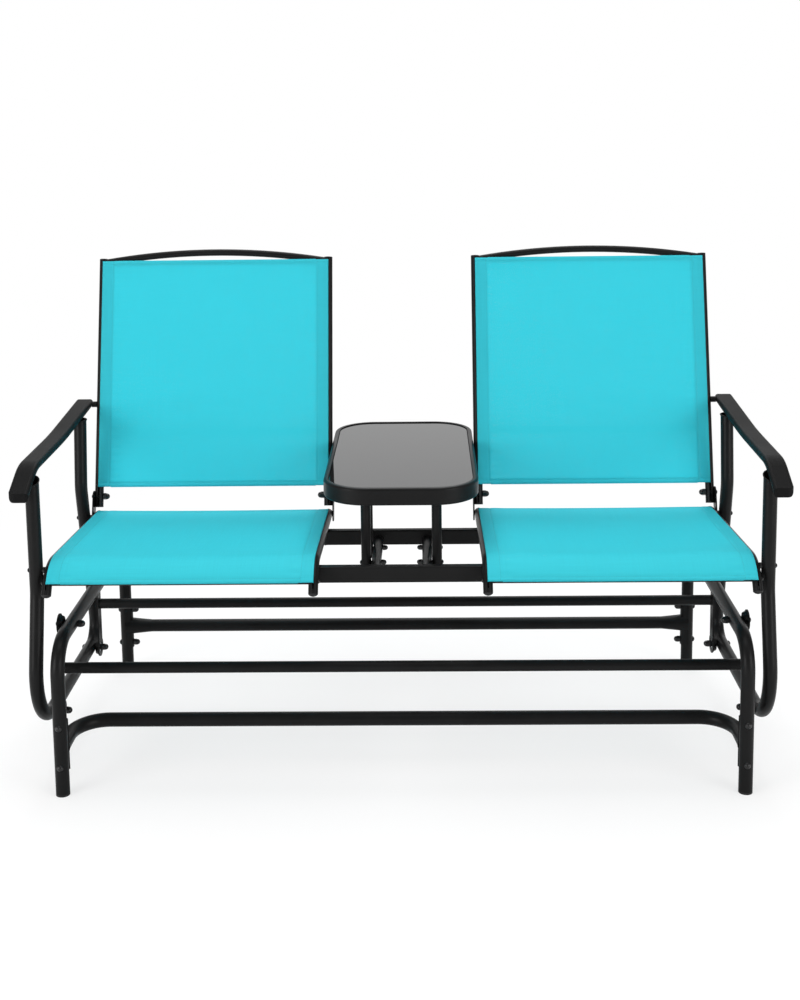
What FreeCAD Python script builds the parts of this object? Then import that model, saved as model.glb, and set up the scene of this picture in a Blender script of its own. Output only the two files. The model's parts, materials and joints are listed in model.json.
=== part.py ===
"""Two-seat glider with a middle table: two sling chairs hung on swinging link frames over a tube base.

Millimetres. X runs across the seats, Y from front to back and Z up. Each piece is first set out from the
front legs (Y = 0) and the floor (Z = 0). At the end the whole glider is moved along Y so that the origin
lies under the middle of its overall box. Left is -X, as seen from the front.
"""
import FreeCAD, Part
import math
import os

V = FreeCAD.Vector
AXIS_X = V(1, 0, 0)
AXIS_Y = V(0, 1, 0)
AXIS_Z = V(0, 0, 1)

# Fits between pieces
TOUCH = 0.05
HOLE_CLEARANCE = 0.2
RUNNING_CLEARANCE = 0.05
SOFT_CLEARANCE = 0.3
HOLE_OVERRUN = 1.0

# Base end frames: an inverted U of bent tube on each side
BASE_DEPTH = 604.0
BASE_TUBE = 27.0
TUBE_WALL = 1.5
RAIL_HEIGHT = 298.0
BASE_BEND = 62.0
FOOT_FLANGE = 4.0
FOOT_INSERT = 16.0

# Base crossbars and the half-round saddles that seat them on the legs
CROSSBAR_TUBE = 28.0
FRONT_CROSSBAR_HEIGHT = 91.0
FRONT_CROSSBAR_SETBACK = 130.0
FRONT_CROSSBAR_BEND = 68.0
REAR_CROSSBAR_HEIGHT = 103.0
REAR_CROSSBAR_FLARE = 40.0
REAR_CROSSBAR_FLARE_LENGTH = 60.0
SADDLE_HEIGHT = 102.0
SADDLE_THICKNESS = 2.5
FRONT_SADDLE_RISE = 8.0
FRONT_SADDLE_HALF_ANGLE = 62.0
REAR_SADDLE_HALF_ANGLE = 80.0
SADDLE_BOLT_SPREAD = 40.0

# Swing links, hung between the base rails and the arm frames
LINK_LENGTH = 180.5
LINK_THICKNESS = 3.0
LINK_END_RADIUS = 20.0
LINK_WAIST = 28.0
CUP_DEPTH = 7.0
CUP_MOUTH_RADIUS = 18.0
CUP_FLOOR_RADIUS = 14.5
CUP_FLOOR = 1.5
CUP_FLOOR_HOLE = 7.5
BEARING_OUTER = 22.0
BEARING_BORE = 8.0
BEARING_WIDTH = 7.0
BEARING_RACE = 2.6
BEARING_RECESS = 0.7
PIVOT_GAP = 1.5
FRONT_PIVOT_Y = 117.0
PIVOT_SPAN = 324.0
SWING_TUBE = 22.0
FRONT_SWING_TUBE_DROP = 92.0
REAR_SWING_TUBE_DROP = 80.0
PIVOT_COLLAR = 12.0
PIVOT_HEAD_SPACER = 2.0

# Arm frames: a bent U of tube outside each link pair
ARM_TUBE = 27.0
ARM_SPACER = 4.0
ARM_SPACER_DIAMETER = 12.0
ARM_TRIM = 130.0
FRONT_POST_Y = 55.0
FRONT_POST_KNEE = 384.0
FRONT_POST_TOE_Y = -6.0
REAR_POST_Y = 424.0
REAR_POST_KNEE = 487.0
REAR_POST_HEEL_Y = 510.0
REAR_POST_TOP_Y = 444.0
POST_KNEE_BEND = 80.0
FRONT_TOE_BEND = 105.0
REAR_HEEL_BEND = 44.0

# Armrests: heights are those of the bar's centre line
ARMREST_OUTSET = 13.0
ARMREST_WIDTH = 39.0
ARMREST_THICKNESS = 16.0
ARMREST_EDGE = 7.0
ARMREST_TIP_Y = 2.0
ARMREST_KNEE_Y = 78.0
ARMREST_DIP_Y = 297.0
ARMREST_REAR_Y = 542.0
ARMREST_HEIGHT = 651.0
ARMREST_DIP_FALL = 20.0
ARMREST_FALL = 24.0
ARMREST_TIP_FALL = 39.0
ARMREST_BEND = 90.0
ARMREST_DIP_BEND = 1400.0
ARMREST_OUTER_CORNER = 13.0
ARMREST_CORNER = 6.0

# Seat rails: slotted tubes that hold the sling, bent down at the front
SEAT_WIDTH = 509.0
SEAT_TUBE = 19.0
SEAT_BEND_Y = 92.0
SEAT_HEIGHT = 438.0
SEAT_SLOPE = 3.7
SEAT_FRONT_BEND = 70.0
SEAT_FRONT_ANGLE = 60.0
SEAT_FRONT_END = 14.0
SEAT_REAR_Y = 468.0
PLUG_INSERT = 9.0
PLUG_DOME = 4.5
SLOT_WIDTH = 2.6

# Slings
SLING_THICKNESS = 1.2
SEAT_SLING_SAG = 3.0
SEAT_SLING_ANGLE = 55.5
SLING_BEAD = 4.0
SLING_END_GAP = 1.0
BACK_SLING_BOTTOM = 43.0
BACK_SLING_TOP_GAP = 2.0

# Seat spreaders and the two rails that tie the seats together
SEAT_SPREADER_BAR = 12.0
SEAT_SPREADER_ANGLE = 51.0
SPREADER_THREAD = 17.5
CROSS_RAIL_DEPTH = 18.0
CROSS_RAIL_HEIGHT = 32.0
CROSS_RAIL_CORNER = 3.0
FRONT_CROSS_RAIL_Y = 80.0
REAR_CROSS_RAIL_Y = 357.0
CROSS_RAIL_CAP = 2.5
CROSS_RAIL_CAP_INSERT = 10.0

# Backs
BACK_RECLINE = 15.5
BACK_FOOT_SETBACK = 1.0
BACK_FOOT_RISE = 18.4
BACK_LENGTH = 553.0
BACK_TUBE = 19.0
BACK_PLUG = 1.5
BACK_PLUG_INSERT = 3.0
ARCH_TUBE = 15.0
ARCH_RISE = 22.0
BACK_SPREADER_TUBE = 15.0
BACK_SPREADER_UP = 163.0
BACK_SPREADER_BOW = 40.0
BACK_SADDLE_HEIGHT = 76.0
BACK_SADDLE_THICKNESS = 2.0
BACK_SADDLE_HALF_ANGLE = 55.0
BACK_SCREW_SPREAD = 27.0
BRACKET_THICKNESS = 3.0
BRACKET_RADIUS = 12.5
BRACKET_LOW_INSET = 8.0
BRACKET_LOW_DROP = 4.0
BRACKET_BOLT_UP = 22.0

# Table
TABLE_WIDTH = 311.0
TABLE_STUB = 1.0
TABLE_STUB_RISE = 11.0
TABLE_FRONT_Y = 112.0
TABLE_REAR_Y = 680.0
TABLE_TOP = 570.0
TABLE_CORNER = 88.0
RIM_WIDTH = 10.0
RIM_HEIGHT = 35.0
RIM_EDGE = 5.0
RIM_WALL = 2.0
LEDGE_WIDTH = 12.0
LEDGE_THICKNESS = 3.0
GLASS_RECESS = 2.0
GLASS_THICKNESS = 5.0
GLASS_GAP = 1.5
PAD_THICKNESS = 1.5
PAD_RADIUS = 4.5
TABLE_RAIL_X = 51.0
TABLE_TUBE = 20.0
TABLE_RAIL_DROP = 22.0
TABLE_POST_Y = 180.0
TABLE_POST_SPACING = 110.0
TABLE_POST_FOOT = 20.0
TABLE_POST_CAP = 2.0
SUPPORT_BAR_WIDTH = 26.0
SUPPORT_BAR_THICKNESS = 4.0

# Fasteners
BOLT_LARGE = 8.0
BOLT_SMALL = 6.0
SCREW = 5.0
HEAD_RATIO = 1.6
HEAD_HEIGHT_RATIO = 0.55
NUT_FLATS_RATIO = 1.62
NUT_HEX_RATIO = 0.8
NUT_DOME_RATIO = 0.95
SCREW_TIP = 4.0
STUB_DIAMETER = 13.0
STUB_SCREW_DEPTH = 10.0


# Small geometry

def side_point(x, yz):
    """A point at X from a (Y, Z) pair."""
    return V(x, yz[0], yz[1])


def line(first, last):
    return Part.LineSegment(first, last).toShape()


def corner_arc(before, corner, after, radius):
    """First, middle and last point of the arc that rounds a corner."""
    towards = (before - corner).normalize()
    onward = (after - corner).normalize()
    half = towards.getAngle(onward) / 2
    reach = radius / math.tan(half)
    bisector = (towards + onward).normalize()
    middle = corner + bisector * (radius / math.sin(half) - radius)
    return corner + towards * reach, middle, corner + onward * reach


def bent_wire(points, radii):
    """Straight runs joined by tangent arcs."""
    edges = []
    start = points[0]
    for before, corner, after, radius in zip(points, points[1:], points[2:], radii):
        first, middle, last = corner_arc(before, corner, after, radius)
        edges.append(line(start, first))
        edges.append(Part.Arc(first, middle, last).toShape())
        start = last
    edges.append(line(start, points[-1]))
    return Part.Wire(edges)


def rounded_polygon(points, radii):
    """A closed outline with every corner rounded."""
    count = len(points)
    arcs = [corner_arc(points[k - 1], points[k], points[(k + 1) % count], radii[k]) for k in range(count)]
    edges = []
    for k, (first, middle, last) in enumerate(arcs):
        edges.append(Part.Arc(first, middle, last).toShape())
        edges.append(line(last, arcs[(k + 1) % count][0]))
    return Part.Wire(edges)


def swept_rod(wire, diameter):
    """A round bar along a wire."""
    edge = wire.Edges[0]
    start = edge.valueAt(edge.FirstParameter)
    heading = edge.tangentAt(edge.FirstParameter)
    circle = Part.Wire(Part.Circle(start, heading, diameter / 2).toShape())
    return wire.makePipeShell([circle], True, False)


def swept_tube(wire, diameter, wall=TUBE_WALL):
    """A hollow tube along a wire, open at both ends."""
    return swept_rod(wire, diameter).cut(swept_rod(wire, diameter - 2 * wall))


def rod(start, end, diameter):
    """A straight round bar between two points."""
    run = end - start
    return Part.makeCylinder(diameter / 2, run.Length, start, run)


def straight_tube(start, end, diameter, wall=TUBE_WALL):
    """A straight hollow tube between two points."""
    return rod(start, end, diameter).cut(rod(start, end, diameter - 2 * wall))


def box(low, high):
    """A box between two corners."""
    size = high - low
    return Part.makeBox(size.x, size.y, size.z, low)


def stand_at(shape, point, direction):
    """Move a shape made along +Z to a point and a direction."""
    shape.Placement = FreeCAD.Placement(point, FreeCAD.Rotation(AXIS_Z, direction))
    return shape


def mirrored(shape):
    """The same piece on the other side of the glider."""
    return shape.mirror(V(0, 0, 0), AXIS_X)


def revolved(outline):
    """A solid of revolution about Z from an outline of edges in the XZ plane."""
    return Part.Face(Part.Wire(outline)).revolve(V(0, 0, 0), AXIS_Z, 360)


def dome(radius, height):
    """A low round cap on the plane Z = 0."""
    sphere = (radius ** 2 + height ** 2) / (2 * height)
    centre = height - sphere
    half = math.atan2(radius, -centre) / 2
    rim = V(radius, 0, 0)
    middle = V(sphere * math.sin(half), 0, centre + sphere * math.cos(half))
    crown = V(0, 0, height)
    return revolved([line(V(0, 0, 0), rim), Part.Arc(rim, middle, crown).toShape(), line(crown, V(0, 0, 0))])


# Fasteners

def bolt(seat, direction, diameter, length):
    """A round-headed bolt: its head stands on the seat and its shank runs along the direction."""
    head = dome(diameter * HEAD_RATIO / 2, diameter * HEAD_HEIGHT_RATIO).mirror(V(0, 0, 0), AXIS_Z)
    shank = Part.makeCylinder(diameter / 2, length)
    return stand_at(head.fuse(shank).removeSplitter(), seat, direction)


def cap_nut(seat, direction, diameter):
    """A closed hexagon nut that stands on the seat along the direction."""
    corner = diameter * NUT_FLATS_RATIO / math.sqrt(3)
    hex_height = diameter * NUT_HEX_RATIO
    ring = [V(corner * math.cos(k * math.pi / 3), corner * math.sin(k * math.pi / 3), 0) for k in range(7)]
    body = Part.Face(Part.makePolygon(ring)).extrude(V(0, 0, hex_height))
    crown = dome(diameter * NUT_FLATS_RATIO / 2, diameter * NUT_DOME_RATIO)
    crown.translate(V(0, 0, hex_height))
    thread = Part.makeCylinder(diameter / 2 + TOUCH, hex_height + TOUCH)
    return stand_at(body.fuse(crown).cut(thread), seat, direction)


def bolt_with_nut(head_seat, nut_seat, diameter):
    """A bolt through a stack of pieces and the cap nut on its far side."""
    run = nut_seat - head_seat
    shank = run.Length + diameter * NUT_HEX_RATIO
    return [bolt(head_seat, run, diameter, shank), cap_nut(nut_seat, run, diameter)]


def drilled(shape, start, end, diameter):
    """The shape with a clearance hole for a fastener."""
    return shape.cut(rod(start, end, diameter + 2 * HOLE_CLEARANCE))


# Places that several pieces share

TABLE_HALF_WIDTH = TABLE_WIDTH / 2
SEAT_INNER_X = TABLE_HALF_WIDTH + TABLE_STUB + BACK_TUBE / 2
SEAT_OUTER_X = SEAT_INNER_X + SEAT_WIDTH
SEAT_MIDDLE_X = (SEAT_INNER_X + SEAT_OUTER_X) / 2
RAIL_XS = (SEAT_INNER_X, SEAT_OUTER_X)
ARM_X = SEAT_OUTER_X + SEAT_TUBE / 2 + ARM_SPACER + ARM_TUBE / 2
LINK_X = ARM_X - ARM_TUBE / 2 - PIVOT_GAP - CUP_DEPTH - LINK_THICKNESS / 2
BASE_X = LINK_X - LINK_THICKNESS / 2 - CUP_DEPTH - PIVOT_GAP - BASE_TUBE / 2
ARMREST_X = ARM_X + ARMREST_OUTSET
ARMREST_REAR = (ARMREST_REAR_Y, ARMREST_HEIGHT)
ARMREST_DIP = (ARMREST_DIP_Y, ARMREST_HEIGHT - ARMREST_DIP_FALL)
ARMREST_KNEE = (ARMREST_KNEE_Y, ARMREST_HEIGHT - ARMREST_FALL)
ARMREST_TIP = (ARMREST_TIP_Y, ARMREST_HEIGHT - ARMREST_FALL - ARMREST_TIP_FALL)
PIVOT_YS = (FRONT_PIVOT_Y, FRONT_PIVOT_Y + PIVOT_SPAN)
TABLE_POST_YS = (TABLE_POST_Y, TABLE_POST_Y + TABLE_POST_SPACING)
SLING_BEAD_OFFSET = BOLT_SMALL / 2 + SOFT_CLEARANCE + SLING_BEAD / 2
ARCH_UP = BACK_LENGTH - ARCH_TUBE / 2
UPPER_PIVOT_Z = RAIL_HEIGHT
LOWER_PIVOT_Z = RAIL_HEIGHT - LINK_LENGTH
FRONT_SADDLE_Z = FRONT_CROSSBAR_HEIGHT + FRONT_SADDLE_RISE

SLOPE = math.radians(SEAT_SLOPE)
FRONT_ANGLE = math.radians(SEAT_FRONT_ANGLE)
SLING_ANGLE = math.radians(SEAT_SLING_ANGLE)
SPREADER_ANGLE = math.radians(SEAT_SPREADER_ANGLE)
RECLINE = math.radians(BACK_RECLINE)
BACK_ALONG = V(0, math.sin(RECLINE), math.cos(RECLINE))
BACK_BEHIND = V(0, math.cos(RECLINE), -math.sin(RECLINE))


SEAT_BEND_START = (SEAT_BEND_Y, SEAT_HEIGHT)
SEAT_OVER = V(0, math.sin(SLOPE), math.cos(SLOPE))
SEAT_BEND_CENTRE = side_point(0, SEAT_BEND_START) - SEAT_OVER * SEAT_FRONT_BEND


def seat_rail_z(y, over=0.0):
    """Height of a line along the seat rail's bend and straight run, at a distance over its centre line."""
    radius = SEAT_FRONT_BEND + over
    along = y - SEAT_BEND_CENTRE.y
    if along >= radius * math.sin(SLOPE):
        return SEAT_BEND_CENTRE.z + radius / math.cos(SLOPE) - along * math.tan(SLOPE)
    return SEAT_BEND_CENTRE.z + math.sqrt(radius ** 2 - along ** 2)


BACK_FOOT_Y = SEAT_REAR_Y + BACK_FOOT_SETBACK
BACK_FOOT = (BACK_FOOT_Y, seat_rail_z(BACK_FOOT_Y) + BACK_FOOT_RISE)


def back_point(x, up, behind=0.0):
    """A point of a back, measured up its side tube and behind the tube's centre line."""
    return side_point(x, BACK_FOOT) + BACK_ALONG * up + BACK_BEHIND * behind


def seat_bend_point(x, angle):
    """A point of the seat rail's front bend, at an angle forward from the bend's crown."""
    outward = V(0, -math.sin(angle), math.cos(angle))
    return AXIS_X * x + SEAT_BEND_CENTRE + outward * SEAT_FRONT_BEND


def seat_bend_edges(x, rear_y, angle):
    """The seat rail's level run from a rear end, and its front bend down to an angle."""
    rear = V(x, rear_y, seat_rail_z(rear_y))
    start = seat_bend_point(x, -SLOPE)
    bend = Part.Arc(start, seat_bend_point(x, (angle - SLOPE) / 2), seat_bend_point(x, angle))
    return [line(rear, start), bend.toShape()]


def seat_rail_wire(x):
    """The seat rail's centre line: level run, front bend and short drop, from the rear to the tip."""
    end = seat_bend_point(x, FRONT_ANGLE)
    drop = V(0, -math.cos(FRONT_ANGLE), -math.sin(FRONT_ANGLE))
    edges = seat_bend_edges(x, SEAT_REAR_Y, FRONT_ANGLE)
    return Part.Wire(edges + [line(end, end + drop * SEAT_FRONT_END)])


def seat_rail_tip(x):
    """The seat rail's front end and the way it points."""
    edge = seat_rail_wire(x).Edges[-1]
    return edge.valueAt(edge.LastParameter), edge.tangentAt(edge.LastParameter)


def cross_rail_top(y):
    """Height at which a level rail under the seat rails just meets them, at its front or its rear edge."""
    edges = (y - CROSS_RAIL_DEPTH / 2, y + CROSS_RAIL_DEPTH / 2)
    return min(seat_rail_z(edge, -SEAT_TUBE / 2) for edge in edges) - TOUCH


FRONT_CROSS_TOP = cross_rail_top(FRONT_CROSS_RAIL_Y)
REAR_CROSS_TOP = cross_rail_top(REAR_CROSS_RAIL_Y)
CROSS_RAILS = ((FRONT_CROSS_RAIL_Y, FRONT_CROSS_TOP), (REAR_CROSS_RAIL_Y, REAR_CROSS_TOP))
CROSS_RAIL_END = SEAT_OUTER_X + SEAT_TUBE / 2 - CROSS_RAIL_CAP


# Base

def base_path(x):
    """Centre line of a base end frame, from the front foot over the rail to the rear foot."""
    corners = [V(x, 0, FOOT_FLANGE), V(x, 0, RAIL_HEIGHT), V(x, BASE_DEPTH, RAIL_HEIGHT),
               V(x, BASE_DEPTH, FOOT_FLANGE)]
    return bent_wire(corners, [BASE_BEND, BASE_BEND])


def saddle_bolt_heights(middle):
    return (middle - SADDLE_BOLT_SPREAD, middle + SADDLE_BOLT_SPREAD)


def front_bolt_ends(height):
    """Head and nut seats of a bolt from front to back through a front leg and its saddle."""
    reach = BASE_TUBE / 2 + SADDLE_THICKNESS
    return V(BASE_X, -BASE_TUBE / 2, height), V(BASE_X, reach, height)


def rear_bolt_ends(height):
    """Head and nut seats of a bolt across a rear leg and its saddle."""
    reach = BASE_TUBE / 2 + SADDLE_THICKNESS
    return V(BASE_X + BASE_TUBE / 2, BASE_DEPTH, height), V(BASE_X - reach, BASE_DEPTH, height)


def crossbar_bolt_ends():
    """Ends of the four crossbar bolts of the right side."""
    ends = [front_bolt_ends(height) for height in saddle_bolt_heights(FRONT_SADDLE_Z)]
    ends += [rear_bolt_ends(height) for height in saddle_bolt_heights(REAR_CROSSBAR_HEIGHT)]
    return ends


def upper_pivot_ends(y):
    """Head and nut seats of an upper pivot bolt: head outside the link, nut inside the base rail."""
    head_x = LINK_X + LINK_THICKNESS / 2 + PIVOT_HEAD_SPACER
    return V(head_x, y, UPPER_PIVOT_Z), V(BASE_X - BASE_TUBE / 2, y, UPPER_PIVOT_Z)


def base_frame():
    """Right end frame with its bolt holes."""
    frame = swept_tube(base_path(BASE_X), BASE_TUBE)
    for head, nut in crossbar_bolt_ends():
        frame = drilled(frame, head, nut, BOLT_LARGE)
    for y in PIVOT_YS:
        head, nut = upper_pivot_ends(y)
        frame = drilled(frame, head, nut, BOLT_LARGE)
    return frame


def foot_plugs():
    """Plastic plugs in the four leg ends."""
    plugs = []
    for y in (0.0, BASE_DEPTH):
        flange = Part.makeCylinder(BASE_TUBE / 2, FOOT_FLANGE - TOUCH, V(BASE_X, y, 0))
        insert = Part.makeCylinder(BASE_TUBE / 2 - TUBE_WALL - TOUCH, FOOT_INSERT, V(BASE_X, y, 0))
        plug = flange.fuse(insert).removeSplitter()
        plugs += [plug, mirrored(plug)]
    return plugs


def half_saddle(leg_radius, thickness, height, half_angle):
    """A half-round plate about Z that hugs a leg on its +X side, centred on the origin."""
    outer = Part.makeCylinder(leg_radius + thickness, height, V(0, 0, -height / 2), AXIS_Z, 2 * half_angle)
    inner = Part.makeCylinder(leg_radius + TOUCH, height, V(0, 0, -height / 2))
    plate = outer.cut(inner)
    plate.rotate(V(0, 0, 0), AXIS_Z, -half_angle)
    return plate


def base_saddle(leg_y, height, turn, half_angle):
    """A crossbar's saddle on the right leg, turned about Z to the side that it lies on."""
    plate = half_saddle(BASE_TUBE / 2, SADDLE_THICKNESS, SADDLE_HEIGHT, half_angle)
    plate.rotate(V(0, 0, 0), AXIS_Z, turn)
    plate.translate(V(BASE_X, leg_y, height))
    return plate


def leg_core(y, extra=0.0):
    """The space that a right leg and anything on its surface takes."""
    return Part.makeCylinder(BASE_TUBE / 2 + extra, RAIL_HEIGHT, V(BASE_X, y, 0))


def front_crossbar():
    """Lower front crossbar: its bent ends run forward to the saddles behind the front legs."""
    height = FRONT_CROSSBAR_HEIGHT
    back = FRONT_CROSSBAR_SETBACK
    corners = [V(-BASE_X, 0, height), V(-BASE_X, back, height), V(BASE_X, back, height), V(BASE_X, 0, height)]
    wire = bent_wire(corners, [FRONT_CROSSBAR_BEND, FRONT_CROSSBAR_BEND])
    core = leg_core(0, SADDLE_THICKNESS + TOUCH)
    bar = swept_tube(wire, CROSSBAR_TUBE).cut(core).cut(mirrored(core))
    return max(bar.Solids, key=lambda solid: solid.Volume)


def flared_bar(inset):
    """The rear crossbar's outline, drawn in from its outer face: a round bar that widens to both legs."""
    flare_x = BASE_X - REAR_CROSSBAR_FLARE_LENGTH
    left = V(-flare_x, BASE_DEPTH, REAR_CROSSBAR_HEIGHT)
    right = V(flare_x, BASE_DEPTH, REAR_CROSSBAR_HEIGHT)
    narrow = CROSSBAR_TUBE / 2 - inset
    wide = REAR_CROSSBAR_FLARE / 2 - inset
    flare = Part.makeCone(narrow, wide, REAR_CROSSBAR_FLARE_LENGTH, right, AXIS_X)
    return rod(left, right, 2 * narrow).fuse([flare, mirrored(flare)])


def rear_crossbar():
    """Straight rear crossbar with flared ends, between the saddles on the inner sides of the rear legs."""
    core = leg_core(BASE_DEPTH, SADDLE_THICKNESS + TOUCH)
    bar = flared_bar(0).cut(flared_bar(TUBE_WALL)).cut(core).cut(mirrored(core))
    return max(bar.Solids, key=lambda solid: solid.Volume)


def both_sides(pieces):
    """Pieces of the right side and their mirror images."""
    return pieces + [mirrored(piece) for piece in pieces]


def crossbar_saddles():
    """The four half-round plates that seat the crossbars on the legs, with their bolt holes."""
    front = base_saddle(0, FRONT_SADDLE_Z, 90, FRONT_SADDLE_HALF_ANGLE)
    for height in saddle_bolt_heights(FRONT_SADDLE_Z):
        head, nut = front_bolt_ends(height)
        front = drilled(front, head, nut + AXIS_Y * HOLE_OVERRUN, BOLT_LARGE)
    rear = base_saddle(BASE_DEPTH, REAR_CROSSBAR_HEIGHT, 180, REAR_SADDLE_HALF_ANGLE)
    for height in saddle_bolt_heights(REAR_CROSSBAR_HEIGHT):
        head, nut = rear_bolt_ends(height)
        rear = drilled(rear, head, nut - AXIS_X * HOLE_OVERRUN, BOLT_LARGE)
    return both_sides([front, rear])


def crossbar_bolts():
    """Bolts and cap nuts that hold the crossbars to the legs."""
    pieces = []
    for head, nut in crossbar_bolt_ends():
        pieces += bolt_with_nut(head, nut, BOLT_LARGE)
    return both_sides(pieces)


def collar(start, end):
    """A spacer tube on a pivot bolt, running along X."""
    sleeve = rod(start, end, PIVOT_COLLAR)
    return sleeve.cut(rod(start, end, BOLT_LARGE + 2 * RUNNING_CLEARANCE))


def bearing_faces(outward):
    """X of a right bearing's face at the cup's floor and of its open face, in a cup towards -X or +X."""
    floor_x = LINK_X + outward * (LINK_THICKNESS / 2 + CUP_DEPTH - CUP_FLOOR)
    return floor_x, floor_x - outward * BEARING_WIDTH


def upper_pivot_bolts():
    """Upper pivot bolts, their cap nuts and the collars that hold the bearings off the base rails."""
    pieces = []
    floor_x, open_x = bearing_faces(-1)
    for y in PIVOT_YS:
        head, nut = upper_pivot_ends(y)
        pieces += bolt_with_nut(head, nut, BOLT_LARGE)
        rail_face = V(BASE_X + BASE_TUBE / 2, y, UPPER_PIVOT_Z)
        pieces.append(collar(rail_face, V(floor_x - RUNNING_CLEARANCE, y, UPPER_PIVOT_Z)))
        pieces.append(collar(V(open_x + RUNNING_CLEARANCE, y, UPPER_PIVOT_Z), head))
    return both_sides(pieces)


# Swing frames

def cup(y, z, outward):
    """A pivot cup on a right link: a cone towards the base (-1) or the arm frame (+1)."""
    face_x = LINK_X + outward * LINK_THICKNESS / 2
    return Part.makeCone(CUP_MOUTH_RADIUS, CUP_FLOOR_RADIUS, CUP_DEPTH, V(face_x, y, z), AXIS_X * outward)


def cup_pocket(y, z, outward):
    """The bearing seat and the hole in the floor of a cup."""
    back_x = LINK_X - outward * LINK_THICKNESS / 2
    depth = LINK_THICKNESS + CUP_DEPTH
    seat = Part.makeCylinder(BEARING_OUTER / 2 + TOUCH, depth - CUP_FLOOR, V(back_x, y, z), AXIS_X * outward)
    hole = Part.makeCylinder(CUP_FLOOR_HOLE, depth, V(back_x, y, z), AXIS_X * outward)
    return seat.fuse(hole)


def swing_link(y):
    """Right link plate with its upper cup towards the base and its lower cup towards the arm frame."""
    x = LINK_X - LINK_THICKNESS / 2
    through = AXIS_X * LINK_THICKNESS
    waist = box(V(x, y - LINK_WAIST / 2, LOWER_PIVOT_Z), V(x, y + LINK_WAIST / 2, UPPER_PIVOT_Z) + through)
    plate = waist
    for z in (UPPER_PIVOT_Z, LOWER_PIVOT_Z):
        plate = plate.fuse(Part.makeCylinder(LINK_END_RADIUS, LINK_THICKNESS, V(x, y, z), AXIS_X))
    plate = plate.removeSplitter().fuse([cup(y, UPPER_PIVOT_Z, -1), cup(y, LOWER_PIVOT_Z, 1)])
    return plate.cut(cup_pocket(y, UPPER_PIVOT_Z, -1)).cut(cup_pocket(y, LOWER_PIVOT_Z, 1))


def swing_tube(y, drop):
    """Cross tube welded between the two links of a swing frame, below their upper pivots."""
    x = LINK_X - LINK_THICKNESS / 2
    z = UPPER_PIVOT_Z - drop
    return straight_tube(V(-x, y, z), V(x, y, z), SWING_TUBE)


def bearing(y, z, outward):
    """The two races of a ball bearing and the shield between them, in a right link's cup."""
    floor_x, open_x = bearing_faces(outward)
    start = V(floor_x, y, z)
    end = V(open_x, y, z)
    ring = rod(start, end, BEARING_OUTER).cut(rod(start, end, BEARING_BORE + 2 * RUNNING_CLEARANCE))
    groove_start = end + AXIS_X * (outward * BEARING_RECESS)
    groove = rod(groove_start, end, BEARING_OUTER - 2 * BEARING_RACE)
    return ring.cut(groove.cut(rod(groove_start, end, BEARING_BORE + 2 * BEARING_RACE)))


def bearings(y):
    """The four bearings of a swing frame."""
    return both_sides([bearing(y, UPPER_PIVOT_Z, -1), bearing(y, LOWER_PIVOT_Z, 1)])


# Arm frames and armrests

def lower_pivot_ends(y):
    """Head and nut seats of a lower pivot bolt: head outside the arm frame, nut inside the link."""
    nut_x = LINK_X - LINK_THICKNESS / 2 - PIVOT_HEAD_SPACER
    return V(ARM_X + ARM_TUBE / 2, y, LOWER_PIVOT_Z), V(nut_x, y, LOWER_PIVOT_Z)


def lower_pivot_bolts():
    """Lower pivot bolts, their cap nuts and the collars on both sides of the bearings."""
    pieces = []
    floor_x, open_x = bearing_faces(1)
    for y in PIVOT_YS:
        head, nut = lower_pivot_ends(y)
        pieces += bolt_with_nut(head, nut, BOLT_LARGE)
        rail_face = V(ARM_X - ARM_TUBE / 2, y, LOWER_PIVOT_Z)
        pieces.append(collar(V(floor_x + RUNNING_CLEARANCE, y, LOWER_PIVOT_Z), rail_face))
        pieces.append(collar(nut, V(open_x - RUNNING_CLEARANCE, y, LOWER_PIVOT_Z)))
    return both_sides(pieces)


def arm_bolt_places():
    """Y and Z of the two bolts that join an arm frame to the outer seat rail."""
    rear_z = seat_rail_z(REAR_POST_Y)
    lean = (REAR_POST_HEEL_Y - REAR_POST_Y) / (REAR_POST_KNEE - LOWER_PIVOT_Z)
    rear_y = REAR_POST_Y + max(0.0, REAR_POST_KNEE - rear_z) * lean
    return ((FRONT_POST_Y, seat_rail_z(FRONT_POST_Y)), (rear_y, seat_rail_z(rear_y)))


def arm_bolt_ends(place):
    """Head and nut seats of a bolt through an arm post and the outer seat rail."""
    return side_point(ARM_X + ARM_TUBE / 2, place), side_point(SEAT_OUTER_X - SEAT_TUBE / 2, place)


def armrest_wire():
    """The armrest's centre line, run past both ends so that the plan outline trims it."""
    tip = side_point(ARMREST_X, ARMREST_TIP)
    knee = side_point(ARMREST_X, ARMREST_KNEE)
    dip = side_point(ARMREST_X, ARMREST_DIP)
    rear = side_point(ARMREST_X, ARMREST_REAR)
    overrun = ARMREST_THICKNESS
    before = tip + (tip - knee).normalize() * overrun
    beyond = rear + (rear - dip).normalize() * overrun
    return bent_wire([before, knee, dip, beyond], [ARMREST_BEND, ARMREST_DIP_BEND])


def armrest_section(low, high, width):
    """Corners of a section at the start of the armrest's line, between two heights over that line."""
    edge = armrest_wire().Edges[0]
    start = edge.valueAt(edge.FirstParameter)
    heading = edge.tangentAt(edge.FirstParameter)
    over = V(0, -heading.z, heading.y)
    half = width / 2
    places = ((-half, low), (half, low), (half, high), (-half, high))
    return [start + AXIS_X * across + over * up for across, up in places]


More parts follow.
